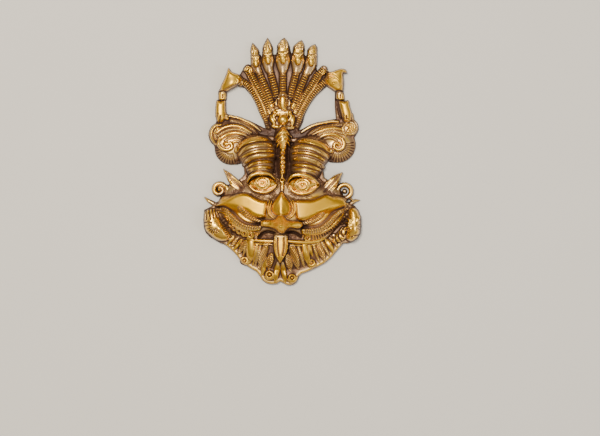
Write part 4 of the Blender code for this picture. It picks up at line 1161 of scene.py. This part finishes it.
@dataclass
class Beard:
    """Locks that fan down from the lower lip: smooth, hatched and beaded, some ending in a ring."""

    locks: tuple[Lock, ...] = (
        Lock(((-5.6, -131), (-7.0, -142), (-9.5, -156)), (2.0, 3.6, 3.4)),
        Lock(((-13.6, -121), (-17.0, -131), (-17.5, -140)), (3.4, 4.6, 4.2), Cut.HATCHED, 0.9),
        Lock(((-19.6, -124), (-23.2, -135), (-26.0, -147.5)), (1.2, 2.0, 3.0)),
        Lock(((-21.0, -111), (-26, -124), (-30.3, -140)), (3.8, 4.0, 3.4), Cut.HATCHED, -0.9),
        Lock(((-28.4, -110), (-31.4, -122), (-35.5, -137)), (1.8, 1.8, 1.7), Cut.BEADED),
        Lock(((-32.8, -108), (-34.8, -120), (-38.6, -136)), (1.8, 1.9, 1.7)),
        Lock(((-40.8, -105), (-41, -118), (-43, -132)), (4.8, 5.2, 4.6)),
        Lock(((-47.0, -104), (-52.5, -112.5), (-57.6, -120)), (3.0, 3.6, 3.0), Cut.HATCHED, 0.7),
        Lock(((-45.8, -109), (-48.2, -116), (-52, -124)), (1.6, 1.8, 1.6)),
        Lock(((-52.5, -101), (-58.5, -109), (-63.5, -115.5)), (1.7, 2.2, 2.0)),
        Lock(((-57.5, -98), (-63, -106), (-67.5, -112)), (1.7, 2.2, 2.0), Cut.HATCHED, 0.6),
        Lock(((-62.5, -96), (-67, -102), (-71, -108)), (1.7, 2.3, 2.1)),
        Lock(((-67.5, -94), (-71, -99), (-75, -105)), (1.7, 2.2, 2.0), Cut.HATCHED, 0.6),
        Lock(((0.2, -131), (1.8, -143), (4.2, -156.5)), (2.0, 3.2, 3.0)),
        Lock(((6.6, -122), (9.2, -132), (11.2, -143)), (2.8, 4.0, 3.8), Cut.HATCHED, -0.9),
        Lock(((12.8, -112), (17.0, -125), (20.6, -139.5)), (4.2, 4.6, 4.2), Cut.HATCHED, 0.9),
        Lock(((21.0, -111), (24.6, -123), (29.0, -138.5)), (1.9, 2.1, 1.9), Cut.BEADED),
        Lock(((28.6, -109), (31.0, -121), (35.2, -135)), (3.4, 4.0, 3.6)),
        Lock(((35.2, -109.5), (37, -117), (39.8, -124)), (2.0, 2.2, 1.8)),
        Lock(((40.6, -108), (43.8, -119), (48.5, -132)), (1.8, 1.9, 1.7), Cut.BEADED),
        Lock(((46.6, -106.5), (50.5, -117.5), (55, -129)), (3.0, 3.8, 3.6), Cut.HATCHED, 0.9),
        Lock(((51.8, -104.5), (56.5, -114), (61.3, -124)), (1.8, 2.1, 1.9), Cut.BEADED),
        Lock(((57, -102), (62.6, -111), (66, -119)), (2.4, 3.4, 2.8)),
        Lock(((61.5, -99), (67.5, -104.5), (71.5, -112)), (1.8, 2.3, 2.0), Cut.HATCHED, 0.6),
        Lock(((66, -95), (71.5, -99), (76, -106.5)), (2.0, 2.5, 2.0)),
    )
    spread: float = 1.14
    hem: float = 2.4
    floor_stain: float = 0.5
    top: float = -97.0
    half_width: float = 76.0
    satin: float = 0.55
    rings: tuple[tuple[float, float, float, float], ...] = (
        (-16.5, -146, 5.4, 200), (-48.8, -127.8, 4.6, 150), (12.5, -150, 4.9, 200),
        (37.8, -130.8, 4.4, 180))

    def carve(self, relief: Relief) -> None:
        """Carves the locks on a dark floor, each short of the hem, and then the rings on their ends."""
        below = np.clip((self.top - relief.y) / 4.0, 0.0, 1.0)
        below *= np.clip((self.half_width - np.abs(relief.x)) / 4.0, 0.0, 1.0)
        within = np.clip((relief.inside - 3.0) / 2.0, 0.0, 1.0)
        relief.satin = np.maximum(relief.satin, self.satin * below)
        relief.stain_and_shade = np.maximum(relief.stain_and_shade, self.floor_stain * below * within)
        for lock in self.locks:
            pitch = 2.4 if lock.cut is Cut.BEADED else 3.0
            root, middle, foot = (np.array(place, float) for place in lock.path)
            foot -= (foot - middle) / np.hypot(*(foot - middle)) * self.hem
            radii = [self.spread * radius for radius in lock.radii]
            relief.ridge([root, middle, foot], (*radii, 0.5 * radii[2]), (0.8, 1.0, 0.6, 0.0), None,
                         lock.cut, pitch, 0.45, lock.slant, 0.38, 0.95)
        for x, y, size, tail in self.rings:
            relief.coil(x, y, 0.78 * size, 0.78 * size, 1.3, 2.4)
            relief.bead(x, y, 0.36 * size, 2.4)
            relief.ridge(arc(x, y, 1.2 * size, tail, tail + 170), 1.0, 1.6)


@dataclass
class EndBeasts:
    """Small maned beasts that the lip runs out into at both sides."""

    base: float = 8.5

    def carve(self, relief: Relief) -> None:
        """Carves the left beast, then the right one."""
        self.left(relief)
        self.right(relief)

    def left(self, relief: Relief) -> None:
        """Head turned outwards, with a tufted mane, a ribbed collar and whiskers."""
        relief.pillow([(-100, -64.5), (-94, -61.5), (-88, -60.5), (-84, -63), (-81.5, -70), (-78, -77),
                       (-72, -83.5), (-66, -90), (-65, -96.5), (-69, -101.5), (-77, -103), (-85, -101),
                       (-92.5, -95.5), (-99, -88.5), (-101, -80), (-101.2, -72)],
                      ((-102, 15), (-84, 19.5), (-65, 15)), self.base, 9.0, 0.45)
        relief.push(-80, -87, 7, 6, 3.0, -30)
        relief.push(-93, -80, 6, 9, 2.0)
        for x, y, dx, dy in ((-98, -64, 0.6, -11), (-93.8, -62.5, 1.4, -12), (-89.6, -61.6, 1.8, -11),
                             (-85.8, -63, 2.4, -9)):
            relief.groove([(x, y), (x + 0.3 * dx, y + 0.5 * dy), (x + dx, y + dy)], 0.7, 3.0)
        for path in rays(-87.5, -84.5, (196, 220, 244, 268, 292, 316), 3.6, 8.4):
            relief.groove(path, 0.6, 2.4)
        relief.groove([(-100, -79), (-95, -78), (-91, -79.4)], 0.7, 2.4)
        relief.groove([(-100, -83.5), (-95, -82.5), (-91.5, -82)], 0.6, 2.0)
        relief.bead(-86.6, -79, 1.8, 0.0, 19.5)
        for i in range(7):
            x, y = -74.2 + 1.15 * i, -84.5 - 2.35 * i
            relief.groove([(x - 2.6, y - 0.8), (x + 2.4, y + 1.4)], 0.5, 2.0)

    def right(self, relief: Relief) -> None:
        """Rosette of leaf-shaped tufts round a smooth face, with a paw below."""
        relief.pillow([(86, -61), (92.5, -59.5), (98, -64), (100.8, -72), (101.6, -82), (100.4, -92),
                       (96, -99), (90, -103.2), (84, -102), (80, -97.5), (80.5, -90), (83.5, -84),
                       (84, -76), (84, -68)], ((80, 14), (92, 19.5), (102, 15)), self.base, 8.0, 0.45)
        relief.pillow([(80, -84), (84, -88), (84, -95), (80, -101), (73, -104.5), (66, -106), (64, -101),
                       (67, -95), (72, -90), (76, -85)], 15.5, self.base, 6.0, 0.45)
        relief.push(95, -88, 5.5, 8, 3.4)
        for path in rays(93, -81, (58, 88, 116, 144, 172, 200, 228), 3.0, 8.0, 13.5):
            relief.ridge(path, (0.8, 2.3, 0.7), (10.5, 9.5, 5), self.base)
        for path in rays(94, -84, (-40, -5, 25), 3.0, 6.4):
            relief.groove(path, 0.5, 1.6)
        relief.bead(95.6, -84.6, 1.5, 0.0, 21.5)
        relief.groove([(88, -98), (92.5, -95.5), (98, -95)], 0.7, 2.2)
        for path in ([(78, -86.5), (75.4, -92), (79, -97)], [(72.5, -92), (72, -97.5), (76, -102.5)],
                     [(68, -97), (68.4, -101.5), (71, -105)], [(82.5, -90.5), (80.4, -95)]):
            relief.groove(path, 0.8, 3.2)


@dataclass
class Ears:
    """Pointed leaf-shaped ears with a raised rim and a hatched middle."""

    rim_radius: float = 1.2

    def carve(self, relief: Relief) -> None:
        """Carves both ears."""
        rim = (0.9, self.rim_radius, self.rim_radius, 0.5)
        sides = (
            ([(-49, -40), (-59, -29.5), (-68, -19.5), (-76, -10)], (2.4, 6.2, 4.8, 0.6),
             [(-51, -31), (-59, -22.8), (-67, -16), (-75.5, -10.2)],
             [(-49, -40.5), (-60, -34.2), (-68, -26.5), (-75.5, -11)],
             [(-53, -34), (-62, -26), (-71, -15.5)]),
            ([(44, -49), (56, -37), (66, -26), (77, -14.5)], (1.6, 5.8, 6.2, 0.9),
             [(54, -31), (60, -24.5), (68, -18.3), (76.5, -14.6)],
             [(43, -49.5), (57, -43), (70, -31), (76.8, -16)],
             [(54, -39), (64, -29), (73, -18)]),
        )
        for leaf, radii, upper, lower, middle in sides:
            relief.ridge(leaf, radii, (9, 5, 5, 6), 5.0, crown=0.4)
            relief.groove(middle, 1.5, 2.4)
            each(relief.ridge,
                 (middle, (1.0, 1.5, 0.6), (8, 8, 6), 4.0, Cut.HATCHED, 1.9, 0.5),
                 (upper, rim, (11, 9.5, 7.5, 6), 5.0),
                 (lower, rim, (12, 9, 7.5, 6), 5.0))


@dataclass
class Curls:
    """Round scrolls and thorns at the corners of the mouth."""

    level: float = 7.0

    def carve(self, relief: Relief) -> None:
        """Carves both stems, scrolls and thorns."""
        relief.ridge([(-87, -57.5), (-79, -52), (-73, -45.5), (-70.5, -38), (-72, -32)],
                     (1.0, 2.2, 2.8, 3.0, 2.6), (4, 5, 5, 4, 4), 4.0)
        relief.ridge(arc(-81.3, -36.5, 8.8, 20, 470, 19, 5.8), (2.9, 3.4, 3.2, 2.7, 2.0), 0.0, self.level)
        relief.bead(-81.6, -36.4, 2.6, 0.0, self.level + 0.5)
        each(relief.ridge,
             ([(-87.5, -56.2), (-81, -51.5), (-76.5, -46)], (1.2, 1.5, 1.2), 0.0, 8.5),
             ([(-86, -56), (-92, -52.5), (-96, -50), (-100.5, -46)], (3.4, 2.8, 2.2, 0.6), 0.0, 4.5),
             ([(-84, -58), (-90, -55.4), (-95, -53)], (1.6, 1.5, 0.6), 0.0, 6.0),
             ([(88, -58.5), (79.5, -53), (74, -46.5), (71.5, -39.5)], (1.2, 2.2, 2.5, 2.6), (4, 5, 5, 4),
              4.0),
             (arc(80.2, -38.4, 8.6, 200, -175, 17), (2.9, 3.3, 3.3, 3.0), 0.0, self.level),
             ([(88.6, -42), (84.5, -47.5), (80.8, -50.5)], (2.4, 2.0, 1.4), 0.0, 7.4))
        relief.bead(80.4, -38.4, 3.4, 0.0, 3.0)
        relief.ridge([(86, -56), (91, -52.5), (94, -50.8), (100, -50)], (3.4, 2.9, 2.3, 0.6), 0.0, 4.5)
        relief.ridge([(88, -48.5), (91, -50.5)], (1.8, 1.4), 0.0, 7.5)


@dataclass
class CastSurface:
    """The finished sheet as a skin of cells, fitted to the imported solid's box, in metres.

    A cell that the outline crosses keeps only its part inside: the outline passes through each of
    its cut sides where the distance inside, taken as straight between two grid points, is nothing.
    """

    relief: Relief
    margin: float = 0.00005
    snap: float = 0.12
    wall: float = 4.0
    rim: float = 9.0
    hollows: tuple[tuple[float, ...], ...] = (
        (0, -62, 84, 52, 21), (0, -100, 63, 44, 13), (-33, 12, 27, 24, 21), (35, 10, 28, 24, 21))

    def __post_init__(self) -> None:
        """Numbers the points of the skin and works out their places."""
        relief = self.relief
        depth = relief.inside
        nearest = self.snap * relief.step
        depth = np.where(np.abs(depth) < nearest, np.where(depth < 0.0, -nearest, nearest), depth)
        solid = depth > 0.0
        self.node = np.where(solid, np.cumsum(solid).reshape(solid.shape) - 1, -1)
        count = int(solid.sum())
        across, count, cut_across = self.cut_sides(solid, depth, 1, count)
        up, count, cut_up = self.cut_sides(solid, depth, 0, count)
        self.side_across, self.side_up = across, up
        lean_y, lean_x = np.gradient(np.where(solid, relief.height, relief.thinnest), relief.step)
        layers = (relief.x, relief.y, relief.height, relief.patina, relief.matte, relief.satin,
                  lean_x, lean_y)
        whole = [layer[solid] for layer in layers]
        x, y, z, self.patina, self.matte, self.satin, self.lean_x, self.lean_y = (
            np.concatenate([own, *(a[i] for a in (cut_across(layers), cut_up(layers)))])
            for i, own in enumerate(whole))
        self.place(x, y, z)

    @staticmethod
    def cut_sides(solid: Array, depth: Array, axis: int, first: int) -> tuple[Array, int, Reader]:
        """Numbers the grid sides along one axis that the outline crosses.

        Args:
            solid: which grid points are metal.
            depth: distance inside the outline.
            axis: 0 for sides that run up, 1 for sides that run across.
            first: number of the first new point.

        Returns:
            The point's number for each side or -1, the next free number, and a function that reads
            layers of the grid at the new points.
        """
        head = (slice(None), slice(None, -1)) if axis == 1 else (slice(None, -1), slice(None))
        tail = (slice(None), slice(1, None)) if axis == 1 else (slice(1, None), slice(None))
        crossed = solid[head] != solid[tail]
        number = np.where(crossed, first + np.cumsum(crossed).reshape(crossed.shape) - 1, -1)
        start, end = depth[head][crossed], depth[tail][crossed]
        share = start / (start - end)
        inner = solid[head][crossed]

        def read(layers: Sequence[Array]) -> list[Array]:
            """Places are taken between the two grid points, other layers from the one inside."""
            values = []
            for index, layer in enumerate(layers):
                a, b = layer[head][crossed], layer[tail][crossed]
                values.append(a + (b - a) * share if index < 2 else np.where(inner, a, b))
            return values

        return number, first + int(crossed.sum()), read

    def place(self, x: Array, y: Array, z: Array) -> None:
        """Fits the skin to the solid's box, and works out the hollow back and the front's normals.

        The back is the highest of the ellipsoids z = top (1 - rho^2)^(1/2), kept a wall under the
        front and level with the rim elsewhere.
        """
        low, high = (np.array(corner) for corner in CAD_BOX)
        low, high = low + self.margin, high - self.margin
        reach = np.array([np.ptp(x), np.ptp(y), z.max()])
        scale = (high - low) / reach
        back = np.zeros_like(z)
        for cx, cy, half_x, half_y, top in self.hollows:
            rho = np.hypot((x - cx) / (half_x - self.rim), (y - cy) / (half_y - self.rim))
            back = np.maximum(back, top * np.sqrt(np.clip(1.0 - rho ** 2, 0.0, None)))
        back = np.clip(back, 0.0, np.maximum(z - self.wall, 0.0))
        flat = np.column_stack([x - x.min(), y - y.min()])
        self.front = np.column_stack([flat, z]) * scale + low
        self.back = np.column_stack([flat, back]) * scale + low
        lean = np.column_stack([-self.lean_x, -self.lean_y, np.ones_like(z)]) / scale
        self.normal = lean / np.linalg.norm(lean, axis=1)[:, None]

    def cells(self, low: float, high: float) -> tuple[Array, Array]:
        """Faces between two heights of the sheet, each going round its cell anticlockwise.

        Args:
            low: lower end of the stretch, in millimetres up the sheet.
            high: upper end of the stretch.

        Returns:
            The point numbers of all faces in a row, and the number of points of each face.
        """
        first, last = np.searchsorted(self.relief.rows, (low, high))
        last = min(last, len(self.relief.rows) - 1)
        node, across = self.node[first:last + 1], self.side_across[first:last + 1]
        up = self.side_up[first:last]
        slots = np.stack([node[:-1, :-1], across[:-1], node[:-1, 1:], up[:, 1:],
                          node[1:, 1:], across[1:], node[1:, :-1], up[:, :-1]], axis=-1).reshape(-1, 8)
        kept = slots >= 0
        sizes = kept.sum(axis=1)
        whole = sizes > 2
        return slots[whole][kept[whole]], sizes[whole]


@dataclass(frozen=True)
class PatinatedBrass:
    """Cast yellow brass, polished by hand, with brown patina left in the recesses.

    To the eye: bright pale metal on the high points, amber where the polish thins, and a dull
    brown film in the hollows that breaks into the metal along a soft uneven edge. Broad smooth
    surfaces are rubbed golden and a little duller.
    """

    golden: str = "#E2B02C"
    polished: str = "#EFC050"
    satin: str = "#D2B078"
    amber: str = "#AD8E68"
    brown: str = "#7B5940"
    black: str = "#452B1E"
    dust: str = "#6A4C3C"
    stops: tuple[float, ...] = (0.0, 0.16, 0.38, 0.6, 0.9)
    film_drift: float = 0.06
    golden_fade: float = 2.5
    dust_share: float = 0.42
    metal_film: Point = (0.15, 0.8)
    metal_least: float = 0.3
    roughness_polished: float = 0.28
    roughness_patina: float = 0.5
    roughness_satin: float = 0.12
    roughness_drift: float = 0.04
    mottle_mm: float = 5.0
    grain_mm: float = 0.9
    bump_mm: float = 0.05


@dataclass(frozen=True)
class MattPlaster:
    """Pale matt plaster of the floor: even and unpolished, it only takes a soft shadow."""

    colour: str = "#EAE8E2"
    roughness: float = 0.85
    mottle_mm: float = 120.0


def linear(colour: str) -> tuple[float, float, float, float]:
    """Linear colour of an sRGB hex value: ((c + 0.055)/1.055)^2.4, or c/12.92 for c up to 0.04045."""
    parts = (int(colour[i:i + 2], 16) / 255.0 for i in (1, 3, 5))
    return (*(((c + 0.055) / 1.055) ** 2.4 if c > 0.04045 else c / 12.92 for c in parts), 1.0)


def per_metre(size_mm: float) -> float:
    """Scale of a noise whose patches are the given size: cells in a metre."""
    return 1000.0 / size_mm


def add_node(tree: bpy.types.NodeTree, kind: str, values: dict | None = None, links: dict | None = None,
             **settings: object) -> bpy.types.Node:
    """Adds a node, with its constants set on its own sockets.

    Args:
        tree: node tree to add it to.
        kind: the node's type.
        values: constants by input name or number.
        links: outputs of other nodes by input name or number.
        settings: the node's own properties.

    Returns:
        The node.
    """
    node = tree.nodes.new(kind)
    for name, value in settings.items():
        setattr(node, name, value)
    for socket, value in (values or {}).items():
        node.inputs[socket].default_value = value
    for socket, output in (links or {}).items():
        tree.links.new(output, node.inputs[socket])
    return node


def colour_ramp(tree: bpy.types.NodeTree, place: bpy.types.NodeSocket,
                stops: Sequence[tuple[float, str]]) -> bpy.types.Node:
    """Adds a colour ramp.

    Args:
        tree: node tree to add it to.
        place: output that runs along the ramp.
        stops: positions and sRGB colours.

    Returns:
        The ramp's node.
    """
    ramp = add_node(tree, "ShaderNodeValToRGB", None, {"Fac": place})
    elements = ramp.color_ramp.elements
    while len(elements) < len(stops):
        elements.new(0.5)
    for element, (position, colour) in zip(elements, stops):
        element.position = position
        element.color = linear(colour)
    return ramp


def add_object(name: str, data: bpy.types.ID) -> bpy.types.Object:
    """New object in the scene that shows the given data."""
    thing = bpy.data.objects.new(name, data)
    bpy.context.collection.objects.link(thing)
    return thing


def empty_material(name: str) -> bpy.types.Material:
    """New material with no nodes in its tree."""
    material = bpy.data.materials.new(name)
    material.use_nodes = True
    material.node_tree.nodes.clear()
    return material


def brass_material(finish: PatinatedBrass) -> bpy.types.Material:
    """Patinated cast brass: the piece's patina attribute, mottled by noise, runs along a colour ramp.

    Args:
        finish: colours, roughness and grain sizes.

    Returns:
        The material.
    """
    material = empty_material("patinated_cast_brass")
    tree = material.node_tree

    def layer(name: str) -> bpy.types.NodeSocket:
        """Reads one of the piece's own layers."""
        return add_node(tree, "ShaderNodeAttribute", attribute_name=name).outputs["Fac"]

    def noise(size_mm: float, **values: float) -> bpy.types.NodeSocket:
        """Noise with patches of the given size, in the piece's own space."""
        return add_node(tree, "ShaderNodeTexNoise", {"Scale": per_metre(size_mm), **values},
                        {"Vector": place}).outputs["Fac"]

    def spread(value: bpy.types.NodeSocket, source: Point, result: Point) -> bpy.types.NodeSocket:
        """Maps a range of values to another one, held at its ends."""
        return add_node(tree, "ShaderNodeMapRange", {"From Min": source[0], "From Max": source[1],
                                                     "To Min": result[0], "To Max": result[1]},
                        {"Value": value}).outputs["Result"]

    def maths(operation: str, links: dict, values: dict | None = None,
              clamp: bool = False) -> bpy.types.NodeSocket:
        """One sum or product of values."""
        return add_node(tree, "ShaderNodeMath", values, links, operation=operation,
                        use_clamp=clamp).outputs["Value"]

    def blend(share: bpy.types.NodeSocket, under: bpy.types.NodeSocket, over: str) -> bpy.types.NodeSocket:
        """Lays a share of an sRGB colour over another colour."""
        return add_node(tree, "ShaderNodeMix", {7: linear(over)}, {0: share, 6: under},
                        data_type="RGBA").outputs[2]

    place = add_node(tree, "ShaderNodeTexCoord").outputs["Object"]
    patina, matte, satin = layer("patina"), layer("matte"), layer("satin")
    mottle = noise(finish.mottle_mm, Detail=4.0, Roughness=0.6)
    grain = noise(finish.grain_mm, Detail=2.0)
    drift = spread(mottle, (0.3, 0.7), (-finish.film_drift, finish.film_drift))
    film = maths("ADD", {0: patina, 1: drift}, clamp=True)
    shades = (finish.polished, finish.satin, finish.amber, finish.brown, finish.black)
    # The patina attribute also carries painted shade from the sheet, so the darkest stops paint shade in
    # the mouth pockets, throats and grooves.
    ramp = colour_ramp(tree, film, tuple(zip(finish.stops, shades)))
    ramp.color_ramp.interpolation = "EASE"
    dusty = maths("MULTIPLY", {0: matte}, {1: finish.dust_share})
    even = maths("MULTIPLY_ADD", {0: film, 2: satin}, {1: -finish.golden_fade}, clamp=True)
    colour = blend(dusty, blend(even, ramp.outputs["Color"], finish.golden), finish.dust)
    metal = spread(film, finish.metal_film, (1.0, finish.metal_least))
    rough = spread(film, (0.0, 1.0), (finish.roughness_polished, finish.roughness_patina))
    uneven = maths("MULTIPLY_ADD", {0: mottle}, {1: 2.0 * finish.roughness_drift,
                                                 2: -finish.roughness_drift})
    dulled = maths("MULTIPLY_ADD", {0: satin, 2: rough}, {1: finish.roughness_satin})
    gloss = maths("ADD", {0: dulled, 1: uneven}, clamp=True)
    bump = add_node(tree, "ShaderNodeBump", {"Strength": 0.35, "Distance": finish.bump_mm / 1000.0},
                    {"Height": grain}).outputs["Normal"]
    shader = add_node(tree, "ShaderNodeBsdfPrincipled", None,
                      {"Base Color": colour, "Metallic": metal, "Roughness": gloss, "Normal": bump})
    add_node(tree, "ShaderNodeOutputMaterial", None, {"Surface": shader.outputs["BSDF"]})
    return material


def plaster_material(finish: MattPlaster) -> bpy.types.Material:
    """Pale plaster, a little uneven in tone.

    Args:
        finish: colour, roughness and the size of its unevenness.

    Returns:
        The material.
    """
    material = empty_material("matt_plaster")
    tree = material.node_tree
    place = add_node(tree, "ShaderNodeTexCoord").outputs["Object"]
    mottle = add_node(tree, "ShaderNodeTexNoise", {"Scale": per_metre(finish.mottle_mm), "Detail": 2.0},
                      {"Vector": place}).outputs["Fac"]
    light = linear(finish.colour)
    dark = tuple(0.97 * c for c in light[:3]) + (1.0,)
    colour = add_node(tree, "ShaderNodeMix", {6: dark, 7: light}, {0: mottle}, data_type="RGBA").outputs[2]
    shader = add_node(tree, "ShaderNodeBsdfPrincipled", {"Roughness": finish.roughness},
                      {"Base Color": colour})
    add_node(tree, "ShaderNodeOutputMaterial", None, {"Surface": shader.outputs["BSDF"]})
    return material


@dataclass
class CastSection:
    """One closed piece of the casting, between two levels of the sheet."""

    name: str
    low: float
    high: float
    back_patina: float = 0.78
    back_matte: float = 0.6

    def build(self, surface: CastSurface) -> bpy.types.Object:
        """Closes the front skin with upright walls and the hollow back.

        A side of a face that no other face shares is on the rim. Each rim side a-b gets the wall
        a, a', b', b, where a dash means the same place on the back.

        Args:
            surface: the skin of the whole casting.

        Returns:
            The piece, with its patina, matte and satin attributes.
        """
        corners, sizes = surface.cells(self.low, self.high)
        used, corners = np.unique(corners, return_inverse=True)
        count = len(used)
        starts = np.concatenate([[0], np.cumsum(sizes)[:-1]])
        following = np.arange(len(corners)) + 1
        following[starts + sizes - 1] = starts
        a, b = corners, corners[following]
        rim = ~np.isin(a * count + b, b * count + a)
        walls = np.column_stack([a[rim], a[rim] + count, b[rim] + count, b[rim]]).ravel()
        loops = np.concatenate([corners, walls, corners[::-1] + count])
        face_sizes = np.concatenate([sizes, np.full(len(walls) // 4, 4), sizes[::-1]])
        places = np.vstack([surface.front[used], surface.back[used]])
        mesh = bpy.data.meshes.new(self.name)
        mesh.vertices.add(len(places))
        mesh.vertices.foreach_set("co", places.astype(np.float32).ravel())
        mesh.loops.add(len(loops))
        mesh.loops.foreach_set("vertex_index", loops.astype(np.int32))
        mesh.polygons.add(len(face_sizes))
        face_starts = np.concatenate([[0], np.cumsum(face_sizes)[:-1]])
        mesh.polygons.foreach_set("loop_start", face_starts.astype(np.int32))
        mesh.update(calc_edges=True)
        mesh.shade_smooth()
        mesh.normals_split_custom_set(self.loop_normals(surface, used, corners, a[rim], b[rim]))
        for label, values, back in (("patina", surface.patina, self.back_patina),
                                    ("matte", surface.matte, self.back_matte),
                                    ("satin", surface.satin, 0.0)):
            layer = mesh.attributes.new(label, "FLOAT", "POINT")
            both = np.concatenate([values[used], np.full(count, back)])
            layer.data.foreach_set("value", both.astype(np.float32))
        LOG.info("%s: %d triangles", self.name, int((face_sizes - 2).sum()))
        return add_object(self.name, mesh)

    @staticmethod
    def loop_normals(surface: CastSurface, used: Array, corners: Array, a: Array, b: Array) -> Array:
        """Normals for every corner of every face, so that neighbouring pieces shade as one surface.

        Front corners take the normal of the heights. A wall's normal is at right angles to its side
        a-b, and the back faces straight down.
        """
        front = surface.normal[used][corners]
        side = surface.front[used][b] - surface.front[used][a]
        out = np.column_stack([side[:, 1], -side[:, 0], np.zeros(len(side))])
        out /= np.maximum(np.linalg.norm(out, axis=1), 1e-12)[:, None]
        down = np.tile((0.0, 0.0, -1.0), (len(corners), 1))
        return np.vstack([front, np.repeat(out, 4, axis=0), down])

    def dress(self, piece: bpy.types.Object, material: bpy.types.Material) -> None:
        """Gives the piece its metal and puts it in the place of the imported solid."""
        piece.data.materials.append(material)
        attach(piece, BODY)
        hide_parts(NODE)


class Form(Protocol):
    """One sub-assembly of the mask."""

    def carve(self, relief: Relief) -> None:
        """Carves its own forms into the sheet."""


@dataclass
class Mask:
    """The whole casting: every sub-assembly carved into one sheet, then cut into closed pieces."""

    forms: tuple[Form, ...] = (
        Ground(), SnakeFan(), ScaledBands(), SeaBeasts(), Wings(), Horns(), BrowStem(), Guardian(),
        Cheeks(), Eyes(), Beard(), Mouth(), Nose(), Tongue(), EndBeasts(), Ears(), Curls())
    sections: tuple[CastSection, ...] = (
        CastSection("crest_casting", 64.0, 162.0),
        CastSection("wing_casting", 12.0, 64.0),
        CastSection("brow_casting", -38.0, 12.0),
        CastSection("cheek_casting", -86.0, -38.0),
        CastSection("beard_casting", -162.0, -86.0),
    )
    finish: PatinatedBrass = PatinatedBrass()

    def build(self) -> None:
        """Carves the sheet, fits it to the solid and makes the pieces."""
        relief = Relief()
        for form in self.forms:
            form.carve(relief)
            LOG.info("carved %s", type(form).__name__)
        relief.finish()
        surface = CastSurface(relief)
        material = brass_material(self.finish)
        for section in self.sections:
            section.dress(section.build(surface), material)


@dataclass
class Studio:
    """Plain pale floor, soft lights and the camera at the photograph's viewing angle.

    The photograph looks straight at the mask, so the camera looks straight down on it lying.
    """

    image_width: int = 600
    image_height: int = 436
    mask_pixel: Point = (282.35, 161.3)
    metres_per_pixel: float = 0.320 / 248.4
    lens: float = 120.0
    sensor: float = 36.0
    outline_height: float = 0.006
    floor_half: float = 6.0
    floor_drop: float = 0.0002
    room: tuple[tuple[float, str], ...] = (
        (0.0, "#65523E"), (0.4, "#A3927C"), (0.72, "#C9BFB1"), (0.9, "#E9E4DC"), (1.0, "#F8F6F2"))

    def floor(self, finish: MattPlaster) -> None:
        """Square of floor under the mask."""
        half, drop = self.floor_half, -self.floor_drop
        mesh = bpy.data.meshes.new("floor")
        corners = [(-half, -half, drop), (half, -half, drop), (half, half, drop), (-half, half, drop)]
        mesh.from_pydata(corners, [], [(0, 1, 2, 3)])
        mesh.materials.append(plaster_material(finish))
        plane = add_object("floor", mesh)

    def camera(self) -> None:
        """Camera over the frame's centre, as far up as the photograph's scale asks of its lens."""
        width = self.image_width * self.metres_per_pixel
        distance = self.lens * width / self.sensor
        x = (self.image_width / 2 - self.mask_pixel[0]) * self.metres_per_pixel
        y = (self.mask_pixel[1] - self.image_height / 2) * self.metres_per_pixel
        low, high = CAD_BOX
        data = bpy.data.cameras.new("camera")
        data.lens = self.lens
        data.sensor_width = self.sensor
        data.clip_end = 50.0
        camera = add_object("camera", data)
        camera.location = ((low[0] + high[0]) / 2 + x, (low[1] + high[1]) / 2 + y,
                           self.outline_height + distance)
        bpy.context.scene.camera = camera

    @staticmethod
    def lamp(name: str, place: tuple[float, float, float], size: tuple[float, float], power: float,
             colour: str) -> None:
        """Soft rectangular lamp that faces the mask.

        Args:
            name: the lamp's name.
            place: where it hangs, in metres.
            size: width and height of its face.
            power: its power in watts.
            colour: its sRGB colour.
        """
        data = bpy.data.lights.new(name, "AREA")
        data.shape = "RECTANGLE"
        data.size, data.size_y = size
        data.energy = power
        data.color = linear(colour)[:3]
        lamp = add_object(name, data)
        lamp.location = place
        aim = lamp.location.copy()
        aim.negate()
        lamp.rotation_euler = aim.to_track_quat("-Z", "Y").to_euler()

    def world(self) -> None:
        """Soft room light by the height of the direction: bright overhead and dimmer near the horizon."""
        world = bpy.data.worlds.new("soft_room")
        bpy.context.scene.world = world
        world.use_nodes = True
        tree = world.node_tree
        tree.nodes.clear()
        way = add_node(tree, "ShaderNodeTexCoord").outputs["Generated"]
        height = add_node(tree, "ShaderNodeSeparateXYZ", None, {0: way}).outputs["Z"]
        ramp = colour_ramp(tree, height, self.room)
        background = add_node(tree, "ShaderNodeBackground", {"Strength": 1.0},
                              {"Color": ramp.outputs["Color"]})
        add_node(tree, "ShaderNodeOutputWorld", None, {"Surface": background.outputs["Background"]})

    def build(self) -> None:
        """Sets the floor, the lights, the room light and the camera."""
        self.floor(MattPlaster())
        self.lamp("key", (-0.4, 0.5, 2.2), (0.45, 0.45), 46.0, "#FFF3E0")
        self.lamp("overhead", (0.12, 0.1, 2.9), (0.4, 0.3), 7.0, "#FFF6E8")
        self.lamp("fill", (1.3, -0.6, 1.2), (0.6, 0.6), 5.0, "#F2F5FF")
        self.world()
        self.camera()


def main() -> None:
    """Builds the studio and the mask."""
    logging.basicConfig(level=logging.INFO, format="%(name)s: %(message)s")
    Studio().build()
    Mask().build()


if __name__ == "__main__":
    main()
